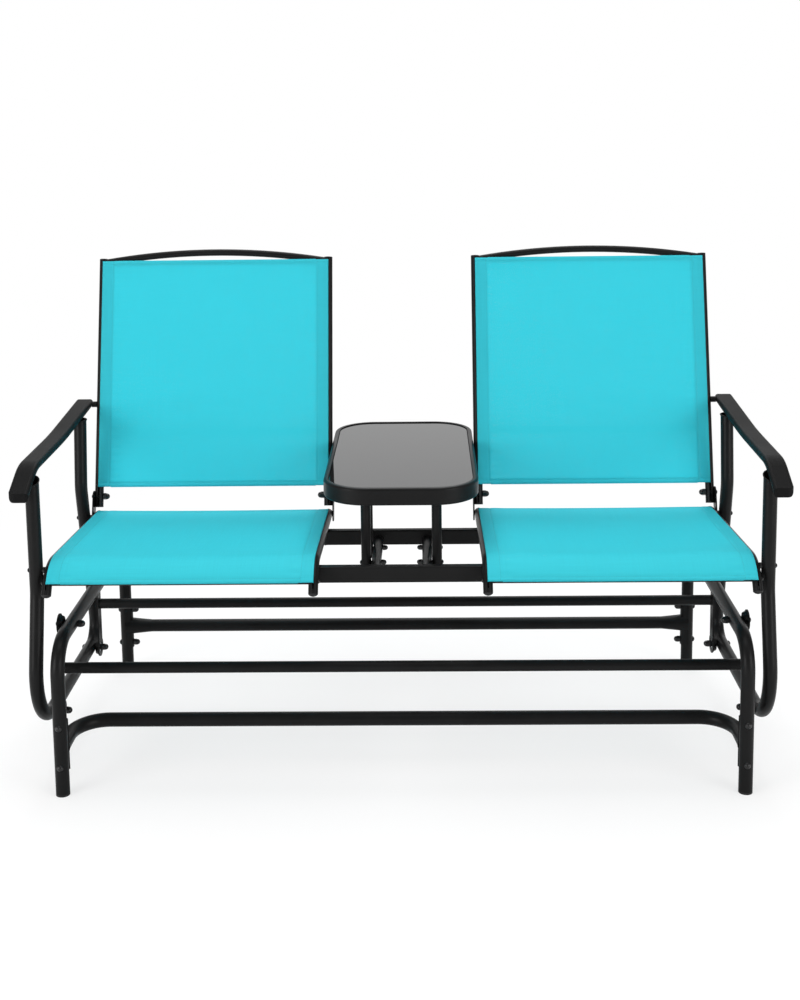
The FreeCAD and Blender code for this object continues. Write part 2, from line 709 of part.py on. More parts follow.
def armrest_bar(inset):
    """Right armrest, drawn in from its outer faces: a flat bar cut to a plan with rounded corners."""
    half = ARMREST_THICKNESS / 2 - inset
    corners = armrest_section(-half, half, ARMREST_WIDTH - 2 * inset)
    section = rounded_polygon(corners, [ARMREST_EDGE - inset] * 4)
    bar = armrest_wire().makePipeShell([section], True, False)
    inner = ARMREST_X - ARMREST_WIDTH / 2 + inset
    outer = ARMREST_X + ARMREST_WIDTH / 2 - inset
    front = ARMREST_TIP_Y + inset
    rear = ARMREST_REAR_Y - inset
    plan = [V(inner, front, 0), V(outer, front, 0), V(outer, rear, 0), V(inner, rear, 0)]
    corner = ARMREST_CORNER - inset
    radii = [corner, ARMREST_OUTER_CORNER - inset, corner, corner]
    outline = Part.Face(rounded_polygon(plan, radii))
    return bar.common(outline.extrude(AXIS_Z * (ARMREST_HEIGHT + ARMREST_WIDTH)))


def armrest():
    """Right armrest: a flattened tube with closed ends and a threaded hole for the back's stub."""
    head, end = arm_stub_ends()
    return armrest_bar(0).cut(armrest_bar(TUBE_WALL)).cut(rod(head, end, BOLT_SMALL + 2 * TOUCH))


def arm_frame():
    """Right arm frame: front post, bottom rail and rear post in one bent tube, cut under the armrest."""
    corners = [V(ARM_X, FRONT_POST_Y, ARMREST_KNEE[1]), V(ARM_X, FRONT_POST_Y, FRONT_POST_KNEE),
               V(ARM_X, FRONT_POST_TOE_Y, LOWER_PIVOT_Z), V(ARM_X, REAR_POST_HEEL_Y, LOWER_PIVOT_Z),
               V(ARM_X, REAR_POST_Y, REAR_POST_KNEE), V(ARM_X, REAR_POST_TOP_Y, ARMREST_REAR[1])]
    bends = [POST_KNEE_BEND, FRONT_TOE_BEND, REAR_HEEL_BEND, POST_KNEE_BEND]
    frame = swept_tube(bent_wire(corners, bends), ARM_TUBE)
    above = armrest_section(-ARMREST_THICKNESS / 2, ARM_TRIM, ARM_TRIM)
    frame = frame.cut(armrest_wire().makePipeShell([Part.makePolygon(above + above[:1])], True, False))
    for y in PIVOT_YS:
        head, nut = lower_pivot_ends(y)
        frame = drilled(frame, head, nut, BOLT_LARGE)
    for place in arm_bolt_places():
        head, nut = arm_bolt_ends(place)
        frame = drilled(frame, head, nut, BOLT_SMALL)
    return frame


def arm_seat_bolts():
    """Bolts, cap nuts and spacers between the arm posts and the outer seat rails."""
    pieces = []
    for place in arm_bolt_places():
        head, nut = arm_bolt_ends(place)
        pieces += bolt_with_nut(head, nut, BOLT_SMALL)
        rail_side = side_point(SEAT_OUTER_X + SEAT_TUBE / 2, place)
        post_side = side_point(ARM_X - ARM_TUBE / 2, place)
        spacer = rod(rail_side, post_side, ARM_SPACER_DIAMETER)
        pieces.append(spacer.cut(rod(rail_side, post_side, BOLT_SMALL + 2 * TOUCH)))
    return both_sides(pieces)


# Seats

def strip_along(wire, normal, width, height):
    """A strip that stands on a wire and follows it, used to cut a tube's slot."""
    start = wire.Edges[0].valueAt(wire.Edges[0].FirstParameter)
    half = AXIS_X * (width / 2)
    top = normal * height
    corners = [start - half, start + half, start + half + top, start - half + top, start - half]
    return wire.makePipeShell([Part.makePolygon(corners)], True, False)


def spreader_bolt_ends(x, towards):
    """Head seat and tip of the bolt through a seat rail into its spreader, which lies towards +X or -X."""
    head = seat_bend_point(x, SPREADER_ANGLE) - AXIS_X * (towards * SEAT_TUBE / 2)
    return head, head + AXIS_X * (towards * (SEAT_TUBE + SPREADER_THREAD))


def cross_rail_screw_ends(x, y, rail_top):
    """Head seat and tip of the screw up through a cross rail into a seat rail."""
    tip_z = seat_rail_z(y) - SEAT_TUBE / 2 + TUBE_WALL + SCREW_TIP
    return V(x, y, rail_top - CROSS_RAIL_HEIGHT), V(x, y, tip_z)


def seat_rail(x, towards):
    """A slotted seat rail of the right seat, whose seat lies towards +X or -X."""
    wire = seat_rail_wire(x)
    rail = swept_tube(wire, SEAT_TUBE).cut(strip_along(wire, SEAT_OVER, SLOT_WIDTH, SEAT_TUBE))
    head, tip = spreader_bolt_ends(x, towards)
    rail = drilled(rail, head, tip, BOLT_SMALL)
    for y, rail_top in CROSS_RAILS:
        head, tip = cross_rail_screw_ends(x, y, rail_top)
        rail = drilled(rail, head, tip, SCREW)
    if x == SEAT_OUTER_X:
        for place in arm_bolt_places():
            head, nut = arm_bolt_ends(place)
            rail = drilled(rail, head, nut, BOLT_SMALL)
    return rail


def rail_plug(end, direction):
    """A domed plug in a seat rail's end."""
    cap = dome(SEAT_TUBE / 2, PLUG_DOME)
    insert = Part.makeCylinder(SEAT_TUBE / 2 - TUBE_WALL - TOUCH, PLUG_INSERT, V(0, 0, -PLUG_INSERT))
    return stand_at(cap.fuse(insert).removeSplitter(), end, direction)


def seat_rail_plugs():
    """Plugs in both ends of the four seat rails."""
    plugs = []
    for x in RAIL_XS:
        rear = V(x, SEAT_REAR_Y, seat_rail_z(SEAT_REAR_Y))
        plugs.append(rail_plug(rear, V(0, math.cos(SLOPE), -math.sin(SLOPE))))
        tip, heading = seat_rail_tip(x)
        plugs.append(rail_plug(tip, heading))
    return both_sides(plugs)


def seat_spreader():
    """Round bar behind the right sling's front edge that holds the rails apart, tapped at both ends."""
    ends = [seat_bend_point(x, SPREADER_ANGLE) for x in RAIL_XS]
    bar = rod(ends[0], ends[1], SEAT_SPREADER_BAR)
    for x in RAIL_XS:
        bar = bar.cut(swept_rod(seat_rail_wire(x), SEAT_TUBE + 2 * TOUCH))
    bar = max(bar.Solids, key=lambda solid: solid.Volume)
    for x, towards in zip(RAIL_XS, (1, -1)):
        head, tip = spreader_bolt_ends(x, towards)
        bar = bar.cut(rod(head, tip, BOLT_SMALL + 2 * TOUCH))
    return bar


def seat_spreader_bolts():
    """Bolts through the seat rails into the spreaders."""
    pieces = []
    for x, towards in zip(RAIL_XS, (1, -1)):
        head, tip = spreader_bolt_ends(x, towards)
        pieces.append(bolt(head, tip - head, BOLT_SMALL, (tip - head).Length - TOUCH))
    return both_sides(pieces)


def cross_rail_section(x, y, rail_top, inset, edge):
    """Outline of a cross rail's section at X, drawn in from its outer faces."""
    front = y - CROSS_RAIL_DEPTH / 2 + inset
    rear = y + CROSS_RAIL_DEPTH / 2 - inset
    bottom = rail_top - CROSS_RAIL_HEIGHT + inset
    top = rail_top - inset
    corners = [V(x, front, bottom), V(x, rear, bottom), V(x, rear, top), V(x, front, top)]
    return Part.Face(rounded_polygon(corners, [edge] * 4))


def cross_rail(y, rail_top):
    """Rectangular tube under the seat rails of both seats."""
    length = AXIS_X * (2 * CROSS_RAIL_END)
    inner_corner = CROSS_RAIL_CORNER - TUBE_WALL
    outer = cross_rail_section(-CROSS_RAIL_END, y, rail_top, 0, CROSS_RAIL_CORNER).extrude(length)
    inner = cross_rail_section(-CROSS_RAIL_END, y, rail_top, TUBE_WALL, inner_corner).extrude(length)
    tube = outer.cut(inner)
    for x in RAIL_XS:
        head, tip = cross_rail_screw_ends(x, y, rail_top)
        hole = rod(head, tip, SCREW + 2 * HOLE_CLEARANCE)
        tube = tube.cut(hole).cut(mirrored(hole))
    return tube


def cross_rail_caps():
    """Plastic caps in the ends of the cross rails, notched past the screws."""
    caps = []
    for y, rail_top in CROSS_RAILS:
        plate = cross_rail_section(CROSS_RAIL_END + TOUCH, y, rail_top, 0, CROSS_RAIL_CORNER)
        insert_x = CROSS_RAIL_END - CROSS_RAIL_CAP_INSERT
        insert = cross_rail_section(insert_x, y, rail_top, TUBE_WALL + TOUCH, TUBE_WALL)
        cap = plate.extrude(AXIS_X * (CROSS_RAIL_CAP - TOUCH))
        cap = cap.fuse(insert.extrude(AXIS_X * (CROSS_RAIL_CAP_INSERT + CROSS_RAIL_CAP)))
        head, tip = cross_rail_screw_ends(SEAT_OUTER_X, y, rail_top)
        notch = SCREW / 2 + HOLE_CLEARANCE
        caps.append(cap.cut(box(head - V(CROSS_RAIL_CAP_INSERT, notch, 0), tip + V(notch, notch, 0))))
    return both_sides(caps)


def cross_rail_screws():
    """Screws up through the cross rails into the seat rails."""
    pieces = []
    for y, rail_top in CROSS_RAILS:
        for x in RAIL_XS:
            head, tip = cross_rail_screw_ends(x, y, rail_top)
            pieces.append(bolt(head, AXIS_Z, SCREW, (tip - head).Length))
    return both_sides(pieces)


# Slings

def spanning_edge(first, last, sag):
    """An edge between two points: an arc that hangs by the sag, or a straight line where there is none."""
    if sag.Length < TOUCH:
        return line(first, last)
    return Part.Arc(first, (first + last) * 0.5 + sag, last).toShape()


def sling_section(base, normal, tube, sag):
    """Section of a sling about the middle between its two tubes.

    The sheet hangs by the sag, and at each side it turns down through the tube's slot to a round bead.
    """
    half = SEAT_WIDTH / 2
    skin = SLING_THICKNESS / 2
    under = tube / 2 + SOFT_CLEARANCE
    over = under + SLING_THICKNESS
    bead = SLING_BEAD / 2
    bead_top = SLING_BEAD_OFFSET + math.sqrt(bead ** 2 - skin ** 2)

    def at(across, up):
        return base + AXIS_X * across + normal * up

    hang = normal * -sag
    edges = [spanning_edge(at(half + skin, over), at(-half - skin, over), hang),
             spanning_edge(at(half - skin, under), at(skin - half, under), hang)]
    for side in (-1, 1):
        outside = side * (half + skin)
        inside = side * (half - skin)
        centre = side * half
        edges.append(line(at(outside, over), at(outside, bead_top)))
        low = at(centre, SLING_BEAD_OFFSET - bead)
        far = at(centre + side * bead, SLING_BEAD_OFFSET)
        near = at(centre - side * bead, SLING_BEAD_OFFSET)
        edges.append(Part.Arc(at(outside, bead_top), far, low).toShape())
        edges.append(Part.Arc(low, near, at(inside, bead_top)).toShape())
        edges.append(line(at(inside, bead_top), at(inside, under)))
    return Part.Wire(Part.__sortEdges__(edges))


def seat_sling():
    """Right seat's mesh sling, from the rear of its rails over the front bend."""
    rear_y = SEAT_REAR_Y - PLUG_INSERT - SLING_END_GAP
    wire = Part.Wire(seat_bend_edges(SEAT_MIDDLE_X, rear_y, SLING_ANGLE))
    start = wire.Edges[0].valueAt(wire.Edges[0].FirstParameter)
    section = sling_section(start, SEAT_OVER, SEAT_TUBE, SEAT_SLING_SAG)
    return wire.makePipeShell([section], True, False)


def back_sling():
    """Right back's mesh sling, stretched flat in front of the arch."""
    section = sling_section(back_point(SEAT_MIDDLE_X, BACK_SLING_BOTTOM), BACK_BEHIND * -1, BACK_TUBE, 0.0)
    length = BACK_LENGTH - BACK_PLUG_INSERT - BACK_SLING_TOP_GAP - BACK_SLING_BOTTOM
    return Part.Face(section).extrude(BACK_ALONG * length)


# Backs

def back_rod(x, extra=0.0):
    """The space that a back tube takes, with a little more length."""
    return rod(back_point(x, -BACK_TUBE), back_point(x, BACK_LENGTH + BACK_TUBE), BACK_TUBE + 2 * extra)


def bracket_face(x, towards):
    """X of a bracket plate's face against the tubes: the plate lies on the side away from the seat."""
    return x - towards * max(SEAT_TUBE, BACK_TUBE) / 2


def bracket_bolt_ends(x, towards):
    """Head and nut seats of the bolt through a bracket plate and a back tube."""
    place = back_point(0, BRACKET_BOLT_UP)
    head_x = bracket_face(x, towards) - towards * BRACKET_THICKNESS
    nut_x = x + towards * BACK_TUBE / 2
    return V(head_x, place.y, place.z), V(nut_x, place.y, place.z)


def back_screw_ends(x, towards):
    """Head seats and tips of the two screws through a spreader's saddle into a back tube."""
    seat = BACK_TUBE / 2 + BACK_SADDLE_THICKNESS
    reach = BACK_SADDLE_THICKNESS + TUBE_WALL + SCREW_TIP
    ends = []
    for step in (-BACK_SCREW_SPREAD, BACK_SCREW_SPREAD):
        head = back_point(x + towards * seat, BACK_SPREADER_UP + step)
        ends.append((head, head - AXIS_X * (towards * reach)))
    return ends


def arm_stub_ends():
    """Head seat and tip of the bolt through the outer back tube and its stub into the armrest."""
    slope = (ARMREST_REAR[1] - ARMREST_DIP[1]) / (ARMREST_REAR[0] - ARMREST_DIP[0])
    level = ARMREST_DIP[1] + (BACK_FOOT[0] - ARMREST_DIP[0]) * slope
    up = (level - BACK_FOOT[1]) / (math.cos(RECLINE) - slope * math.sin(RECLINE))
    head = back_point(SEAT_OUTER_X - BACK_TUBE / 2, up)
    armrest_x = ARMREST_X - ARMREST_WIDTH / 2
    return head, V(armrest_x + STUB_SCREW_DEPTH, head.y, head.z)


def table_stub_ends():
    """Head seat and tip of the bolt through the inner back tube and its stub into the table rim."""
    up = (TABLE_TOP - RIM_HEIGHT + TABLE_STUB_RISE - BACK_FOOT[1]) / math.cos(RECLINE)
    head = back_point(SEAT_INNER_X + BACK_TUBE / 2, up)
    return head, V(TABLE_HALF_WIDTH - STUB_SCREW_DEPTH, head.y, head.z)


def back_tube(x, towards):
    """A slotted side tube of the right back, whose sling lies towards +X or -X."""
    foot = back_point(x, 0)
    top = back_point(x, BACK_LENGTH)
    tube = straight_tube(foot, top, BACK_TUBE)
    wire = Part.Wire(line(foot, top))
    tube = tube.cut(strip_along(wire, BACK_BEHIND * -1, SLOT_WIDTH, BACK_TUBE))
    head, nut = bracket_bolt_ends(x, towards)
    tube = drilled(tube, head, nut, BOLT_LARGE)
    for head, tip in back_screw_ends(x, towards):
        tube = drilled(tube, head, tip, SCREW)
    head, tip = arm_stub_ends() if x == SEAT_OUTER_X else table_stub_ends()
    return drilled(tube, head, tip, BOLT_SMALL)


def back_tube_plugs():
    """Flat plugs in both ends of the four back tubes."""
    plugs = []
    for x in RAIL_XS:
        for up, outward in ((0, -1), (BACK_LENGTH, 1)):
            end = back_point(x, up)
            outer = end + BACK_ALONG * (outward * BACK_PLUG)
            cap = rod(end, outer, BACK_TUBE)
            inner = end - BACK_ALONG * (outward * BACK_PLUG_INSERT)
            insert = rod(inner, outer, BACK_TUBE - 2 * TUBE_WALL - 2 * TOUCH)
            plugs.append(cap.fuse(insert).removeSplitter())
    return both_sides(plugs)


def back_arch():
    """Arched top tube of the right back, welded between the side tubes."""
    ends = [back_point(x, ARCH_UP) for x in RAIL_XS]
    crown = (ends[0] + ends[1]) * 0.5 + BACK_ALONG * ARCH_RISE
    bar = swept_tube(Part.Wire(Part.Arc(ends[0], crown, ends[1]).toShape()), ARCH_TUBE)
    for x in RAIL_XS:
        bar = bar.cut(back_rod(x, TOUCH))
    return max(bar.Solids, key=lambda solid: solid.Volume)


def back_saddle(x, towards):
    """A spreader's saddle plate on the seat side of a back tube."""
    plate = half_saddle(BACK_TUBE / 2, BACK_SADDLE_THICKNESS, BACK_SADDLE_HEIGHT, BACK_SADDLE_HALF_ANGLE)
    if towards < 0:
        plate.rotate(V(0, 0, 0), AXIS_Z, 180)
    plate.rotate(V(0, 0, 0), AXIS_X, -BACK_RECLINE)
    plate.translate(back_point(x, BACK_SPREADER_UP))
    return plate


def stub_head_room(head, tip):
    """The space that a stub bolt's head needs in a saddle plate."""
    inward = (tip - head).normalize() * (BACK_TUBE / 2)
    return rod(head + inward, head - inward, BOLT_SMALL * HEAD_RATIO + 2 * HOLE_CLEARANCE)


def back_spreader():
    """Bowed bar behind the right back's sling, with a saddle plate at each end."""
    ends = [back_point(x, BACK_SPREADER_UP) for x in RAIL_XS]
    rear = (ends[0] + ends[1]) * 0.5 + BACK_BEHIND * BACK_SPREADER_BOW
    bar = swept_tube(Part.Wire(Part.Arc(ends[0], rear, ends[1]).toShape()), BACK_SPREADER_TUBE)
    for x in RAIL_XS:
        bar = bar.cut(back_rod(x, BACK_SADDLE_THICKNESS / 2))
    bar = max(bar.Solids, key=lambda solid: solid.Volume)
    for x, towards in zip(RAIL_XS, (1, -1)):
        bar = bar.fuse(back_saddle(x, towards))
    for x, towards in zip(RAIL_XS, (1, -1)):
        for head, tip in back_screw_ends(x, towards):
            start = head + (head - tip).normalize() * HOLE_OVERRUN
            bar = bar.cut(rod(start, tip, SCREW + 2 * HOLE_CLEARANCE))
    for head, tip in (arm_stub_ends(), table_stub_ends()):
        bar = bar.cut(stub_head_room(head, tip))
    return bar


def back_spreader_screws():
    """Screws through the spreaders' saddles into the back tubes."""
    pieces = []
    for x, towards in zip(RAIL_XS, (1, -1)):
        for head, tip in back_screw_ends(x, towards):
            pieces.append(bolt(head, tip - head, SCREW, (tip - head).Length))
    return both_sides(pieces)


def bracket(x, towards):
    """Flat plate that ties a back tube's foot to the rear end of a seat rail."""
    low_y = SEAT_REAR_Y - BRACKET_LOW_INSET
    face = bracket_face(x, towards)
    first = V(face, low_y, seat_rail_z(low_y) - BRACKET_LOW_DROP)
    place = back_point(face, BRACKET_BOLT_UP)
    along = (place - first).normalize()
    across = AXIS_X.cross(along) * BRACKET_RADIUS
    through = AXIS_X * (-towards * BRACKET_THICKNESS)
    corners = [first - across, first + across, place + across, place - across, first - across]
    plate = Part.Face(Part.makePolygon(corners)).extrude(through)
    for end in (first, place):
        plate = plate.fuse(Part.makeCylinder(BRACKET_RADIUS, BRACKET_THICKNESS, end, through))
    head, nut = bracket_bolt_ends(x, towards)
    return drilled(plate.removeSplitter(), head, nut, BOLT_LARGE)


def back_brackets():
    """The four bracket plates."""
    return both_sides([bracket(x, towards) for x, towards in zip(RAIL_XS, (1, -1))])


def bracket_bolts():
    """Bolts and cap nuts through the bracket plates and the back tubes."""
    pieces = []
    for x, towards in zip(RAIL_XS, (1, -1)):
        head, nut = bracket_bolt_ends(x, towards)
        pieces += bolt_with_nut(head, nut, BOLT_LARGE)
    return both_sides(pieces)


def back_stubs():
    """Short spacer tubes from the back tubes to the armrests and to the table rim."""
    spans = []
    arm_head, _ = arm_stub_ends()
    spans.append((arm_head, SEAT_OUTER_X + BACK_TUBE / 2, ARMREST_X - ARMREST_WIDTH / 2))
    table_head, _ = table_stub_ends()
    spans.append((table_head, TABLE_HALF_WIDTH, SEAT_INNER_X - BACK_TUBE / 2))
    stubs = []
    for head, low_x, high_x in spans:
        start = V(low_x, head.y, head.z)
        end = V(high_x, head.y, head.z)
        stubs.append(rod(start, end, STUB_DIAMETER).cut(rod(start, end, BOLT_SMALL + 2 * TOUCH)))
    return both_sides(stubs)


def stub_bolts():
    """Bolts through the back tubes and stubs into the armrests and the table rim."""
    pieces = []
    for head, tip in (arm_stub_ends(), table_stub_ends()):
        pieces.append(bolt(head, tip - head, BOLT_SMALL, (tip - head).Length - TOUCH))
    return both_sides(pieces)


# Table

GLASS_TOP = TABLE_TOP - GLASS_RECESS
GLASS_BOTTOM = GLASS_TOP - GLASS_THICKNESS
LEDGE_TOP = GLASS_BOTTOM - PAD_THICKNESS
BAR_TOP = LEDGE_TOP - LEDGE_THICKNESS
POST_X = TABLE_RAIL_X + TABLE_TUBE


def table_plan(inset, bottom, height):
    """A prism of the table's outline, drawn in from the rim's outer face."""
    half = TABLE_HALF_WIDTH - inset
    front = TABLE_FRONT_Y + inset
    rear = TABLE_REAR_Y - inset
    corners = [V(-half, front, bottom), V(half, front, bottom), V(half, rear, bottom), V(-half, rear, bottom)]
    outline = rounded_polygon(corners, [TABLE_CORNER - inset] * 4)
    return Part.Face(outline).extrude(AXIS_Z * height)


def table_rim():
    """Hollow rim with rounded outer edges and a ledge for the glass."""
    bottom = TABLE_TOP - RIM_HEIGHT
    block = table_plan(0, bottom, RIM_HEIGHT)
    level = [edge for edge in block.Edges if edge.BoundBox.ZLength < TOUCH]
    ring = block.makeFillet(RIM_EDGE, level).cut(table_plan(RIM_WIDTH, bottom, RIM_HEIGHT))
    hollow_height = RIM_HEIGHT - 2 * RIM_WALL
    hollow = table_plan(RIM_WALL, bottom + RIM_WALL, hollow_height)
    ring = ring.cut(hollow.cut(table_plan(RIM_WIDTH - RIM_WALL, bottom + RIM_WALL, hollow_height)))
    ledge = table_plan(RIM_WIDTH - RIM_WALL / 2, BAR_TOP, LEDGE_THICKNESS)
    ledge = ledge.cut(table_plan(RIM_WIDTH + LEDGE_WIDTH, BAR_TOP, LEDGE_THICKNESS))
    ring = ring.fuse(ledge).removeSplitter()
    head, tip = table_stub_ends()
    hole = rod(head, tip, BOLT_SMALL + 2 * TOUCH)
    return ring.cut(hole).cut(mirrored(hole))


def table_glass():
    return table_plan(RIM_WIDTH + GLASS_GAP, GLASS_BOTTOM, GLASS_THICKNESS)


def glass_pads():
    """Soft pads on the ledge, near the corners of the glass."""
    x = TABLE_HALF_WIDTH - RIM_WIDTH - LEDGE_WIDTH / 2
    pads = []
    for y in (TABLE_FRONT_Y + TABLE_CORNER, TABLE_REAR_Y - TABLE_CORNER):
        pads.append(Part.makeCylinder(PAD_RADIUS, PAD_THICKNESS, V(x, y, LEDGE_TOP)))
    return both_sides(pads)


def table_rail_z(y):
    """Height of the table rails' centre line, which runs between the two cross rails."""
    share = (y - FRONT_CROSS_RAIL_Y) / (REAR_CROSS_RAIL_Y - FRONT_CROSS_RAIL_Y)
    return FRONT_CROSS_TOP + (REAR_CROSS_TOP - FRONT_CROSS_TOP) * share - TABLE_RAIL_DROP


def post_bolt_ends(y):
    """Head and nut seats of the bolt through a table post and its table rail."""
    z = table_rail_z(y)
    return V(POST_X + TABLE_TUBE / 2, y, z), V(TABLE_RAIL_X - TABLE_TUBE / 2, y, z)


def table_rail():
    """Right tube between the cross rails, which carries the table posts."""
    ends = [V(TABLE_RAIL_X, y, table_rail_z(y)) for y, _ in CROSS_RAILS]
    tube = straight_tube(ends[0], ends[1], TABLE_TUBE)
    for y, rail_top in CROSS_RAILS:
        low = V(0, y - CROSS_RAIL_DEPTH / 2 - TOUCH, rail_top - 2 * CROSS_RAIL_HEIGHT)
        high = V(2 * TABLE_RAIL_X, y + CROSS_RAIL_DEPTH / 2 + TOUCH, rail_top + CROSS_RAIL_HEIGHT)
        tube = tube.cut(box(low, high))
    for y in TABLE_POST_YS:
        head, nut = post_bolt_ends(y)
        tube = drilled(tube, head, nut, BOLT_SMALL)
    return tube


def table_posts():
    """Four upright tubes, closed at the foot, from the table rails to the support bars."""
    posts = []
    for y in TABLE_POST_YS:
        foot = V(POST_X + TOUCH, y, table_rail_z(y) - TABLE_POST_FOOT)
        top = V(POST_X + TOUCH, y, BAR_TOP - SUPPORT_BAR_THICKNESS)
        bore_foot = foot + AXIS_Z * TABLE_POST_CAP
        post = rod(foot, top, TABLE_TUBE).cut(rod(bore_foot, top, TABLE_TUBE - 2 * TUBE_WALL))
        head, nut = post_bolt_ends(y)
        posts.append(drilled(post, head + AXIS_X * HOLE_OVERRUN, nut, BOLT_SMALL))
    return both_sides(posts)


def table_support_bars():
    """Flat bars across the rim, under the ledge, on which the posts are welded, cut to the rim's inside."""
    bars = []
    bottom = BAR_TOP - SUPPORT_BAR_THICKNESS
    inside = table_plan(RIM_WIDTH + TOUCH, bottom, SUPPORT_BAR_THICKNESS)
    for y in TABLE_POST_YS:
        low = V(-TABLE_HALF_WIDTH, y - SUPPORT_BAR_WIDTH / 2, bottom)
        high = V(TABLE_HALF_WIDTH, y + SUPPORT_BAR_WIDTH / 2, BAR_TOP)
        bars += box(low, high).common(inside).Solids
    return bars


def table_post_bolts():
    """Bolts and cap nuts through the table posts and table rails."""
    pieces = []
    for y in TABLE_POST_YS:
        head, nut = post_bolt_ends(y)
        pieces += bolt_with_nut(head + AXIS_X * TOUCH, nut, BOLT_SMALL)
    return both_sides(pieces)


# Assembly

def add_pair(nodes, name, piece):
    """A right piece and its left mirror image; the name has a place for the side."""
    nodes[name.format("right")] = [piece]
    nodes[name.format("left")] = [mirrored(piece)]


def build():
    """Every node of the glider as a list of separate solids, set out from the front legs."""
    nodes = {}
    add_pair(nodes, "base_frame_{}", base_frame())
    nodes["front_crossbar"] = [front_crossbar()]
    nodes["rear_crossbar"] = [rear_crossbar()]
    nodes["crossbar_saddles"] = crossbar_saddles()
    nodes["foot_plugs"] = foot_plugs()
    nodes["crossbar_bolts"] = crossbar_bolts()
    nodes["upper_pivot_bolts"] = upper_pivot_bolts()
    for name, y, drop in zip(("front", "rear"), PIVOT_YS, (FRONT_SWING_TUBE_DROP, REAR_SWING_TUBE_DROP)):
        add_pair(nodes, name + "_link_{}", swing_link(y))
        nodes[name + "_swing_tube"] = [swing_tube(y, drop)]
        nodes[name + "_bearings"] = bearings(y)
    add_pair(nodes, "arm_frame_{}", arm_frame())
    add_pair(nodes, "armrest_{}", armrest())
    nodes["arm_seat_bolts"] = arm_seat_bolts()
    nodes["lower_pivot_bolts"] = lower_pivot_bolts()
    for name, x, towards in (("inner", SEAT_INNER_X, 1), ("outer", SEAT_OUTER_X, -1)):
        add_pair(nodes, "{}_seat_" + name + "_rail", seat_rail(x, towards))
        add_pair(nodes, "{}_back_" + name + "_tube", back_tube(x, towards))
    nodes["seat_rail_plugs"] = seat_rail_plugs()
    add_pair(nodes, "{}_seat_spreader", seat_spreader())
    nodes["seat_spreader_bolts"] = seat_spreader_bolts()
    nodes["front_cross_rail"] = [cross_rail(*CROSS_RAILS[0])]
    nodes["rear_cross_rail"] = [cross_rail(*CROSS_RAILS[1])]
    nodes["cross_rail_caps"] = cross_rail_caps()
    nodes["cross_rail_screws"] = cross_rail_screws()
    nodes["back_brackets"] = back_brackets()
    nodes["bracket_bolts"] = bracket_bolts()
    nodes["back_tube_plugs"] = back_tube_plugs()
    add_pair(nodes, "{}_back_arch", back_arch())
    add_pair(nodes, "{}_back_spreader", back_spreader())
    nodes["back_spreader_screws"] = back_spreader_screws()
    nodes["back_stubs"] = back_stubs()
    nodes["stub_bolts"] = stub_bolts()
    nodes["table_rim"] = [table_rim()]
    nodes["table_glass"] = [table_glass()]
    nodes["glass_pads"] = glass_pads()
    nodes["table_support_bars"] = table_support_bars()
    nodes["table_posts"] = table_posts()
    add_pair(nodes, "table_rail_{}", table_rail())
    nodes["table_post_bolts"] = table_post_bolts()
    add_pair(nodes, "{}_seat_sling", seat_sling())
    add_pair(nodes, "{}_back_sling", back_sling())
    return nodes


def main():
    os.makedirs("parts", exist_ok=True)
    nodes = build()
    overall = FreeCAD.BoundBox()
    for pieces in nodes.values():
        for piece in pieces:
            overall.add(piece.optimalBoundingBox(False, False))
    shift = -(overall.YMin + overall.YMax) / 2
    for name, pieces in sorted(nodes.items()):
        node = Part.makeCompound(pieces) if len(pieces) > 1 else pieces[0]
        node.translate(V(0, shift, 0))
        node.exportStep("parts/" + name + ".step")
        state = "valid" if node.isValid() else "INVALID"
        print(name, len(node.Solids), "solids", round(node.Volume), "mm3", state)
    print("overall", round(overall.XLength, 1), round(overall.YLength, 1), round(overall.ZLength, 1))
    print("shift along Y", round(shift, 3))
    for name, y in zip(("front", "rear"), PIVOT_YS):
        print(name, "pivots at Y", round(y + shift, 3), "Z", UPPER_PIVOT_Z, "and", LOWER_PIVOT_Z)


main()
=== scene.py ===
"""Looks of the two-seat glider: stitched mesh slings, weld beads, finishes, studio light and camera.

Metres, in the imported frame: X across the seats, Y from front to back, Z up. Places that the source measures
from the front legs are moved to the frame by FRONT_LEG_Y.
"""
import json
import math

import bpy
import numpy as np
from mathutils import Matrix, Vector


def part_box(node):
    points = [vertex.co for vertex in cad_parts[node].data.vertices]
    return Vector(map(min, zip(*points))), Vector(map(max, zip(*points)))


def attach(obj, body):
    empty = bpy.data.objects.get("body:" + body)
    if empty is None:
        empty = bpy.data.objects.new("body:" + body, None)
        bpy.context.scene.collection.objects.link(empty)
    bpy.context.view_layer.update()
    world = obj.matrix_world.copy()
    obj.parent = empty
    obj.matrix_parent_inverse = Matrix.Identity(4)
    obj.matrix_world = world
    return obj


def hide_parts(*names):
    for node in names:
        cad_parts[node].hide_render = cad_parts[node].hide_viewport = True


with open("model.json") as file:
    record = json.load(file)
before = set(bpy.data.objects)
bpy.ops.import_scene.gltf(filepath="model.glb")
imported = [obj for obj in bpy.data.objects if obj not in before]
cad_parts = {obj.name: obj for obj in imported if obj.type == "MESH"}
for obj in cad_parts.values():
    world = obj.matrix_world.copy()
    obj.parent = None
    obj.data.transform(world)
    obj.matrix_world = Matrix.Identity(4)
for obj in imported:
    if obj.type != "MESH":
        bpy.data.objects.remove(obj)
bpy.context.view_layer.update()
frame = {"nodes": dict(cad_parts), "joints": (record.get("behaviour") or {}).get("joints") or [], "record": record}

# Frame places
FRONT_PIVOT_SETBACK = 0.117
FRONT_LEG_Y = frame["joints"][0]["pos_m"][1] - FRONT_PIVOT_SETBACK
SIDES = ("left", "right")

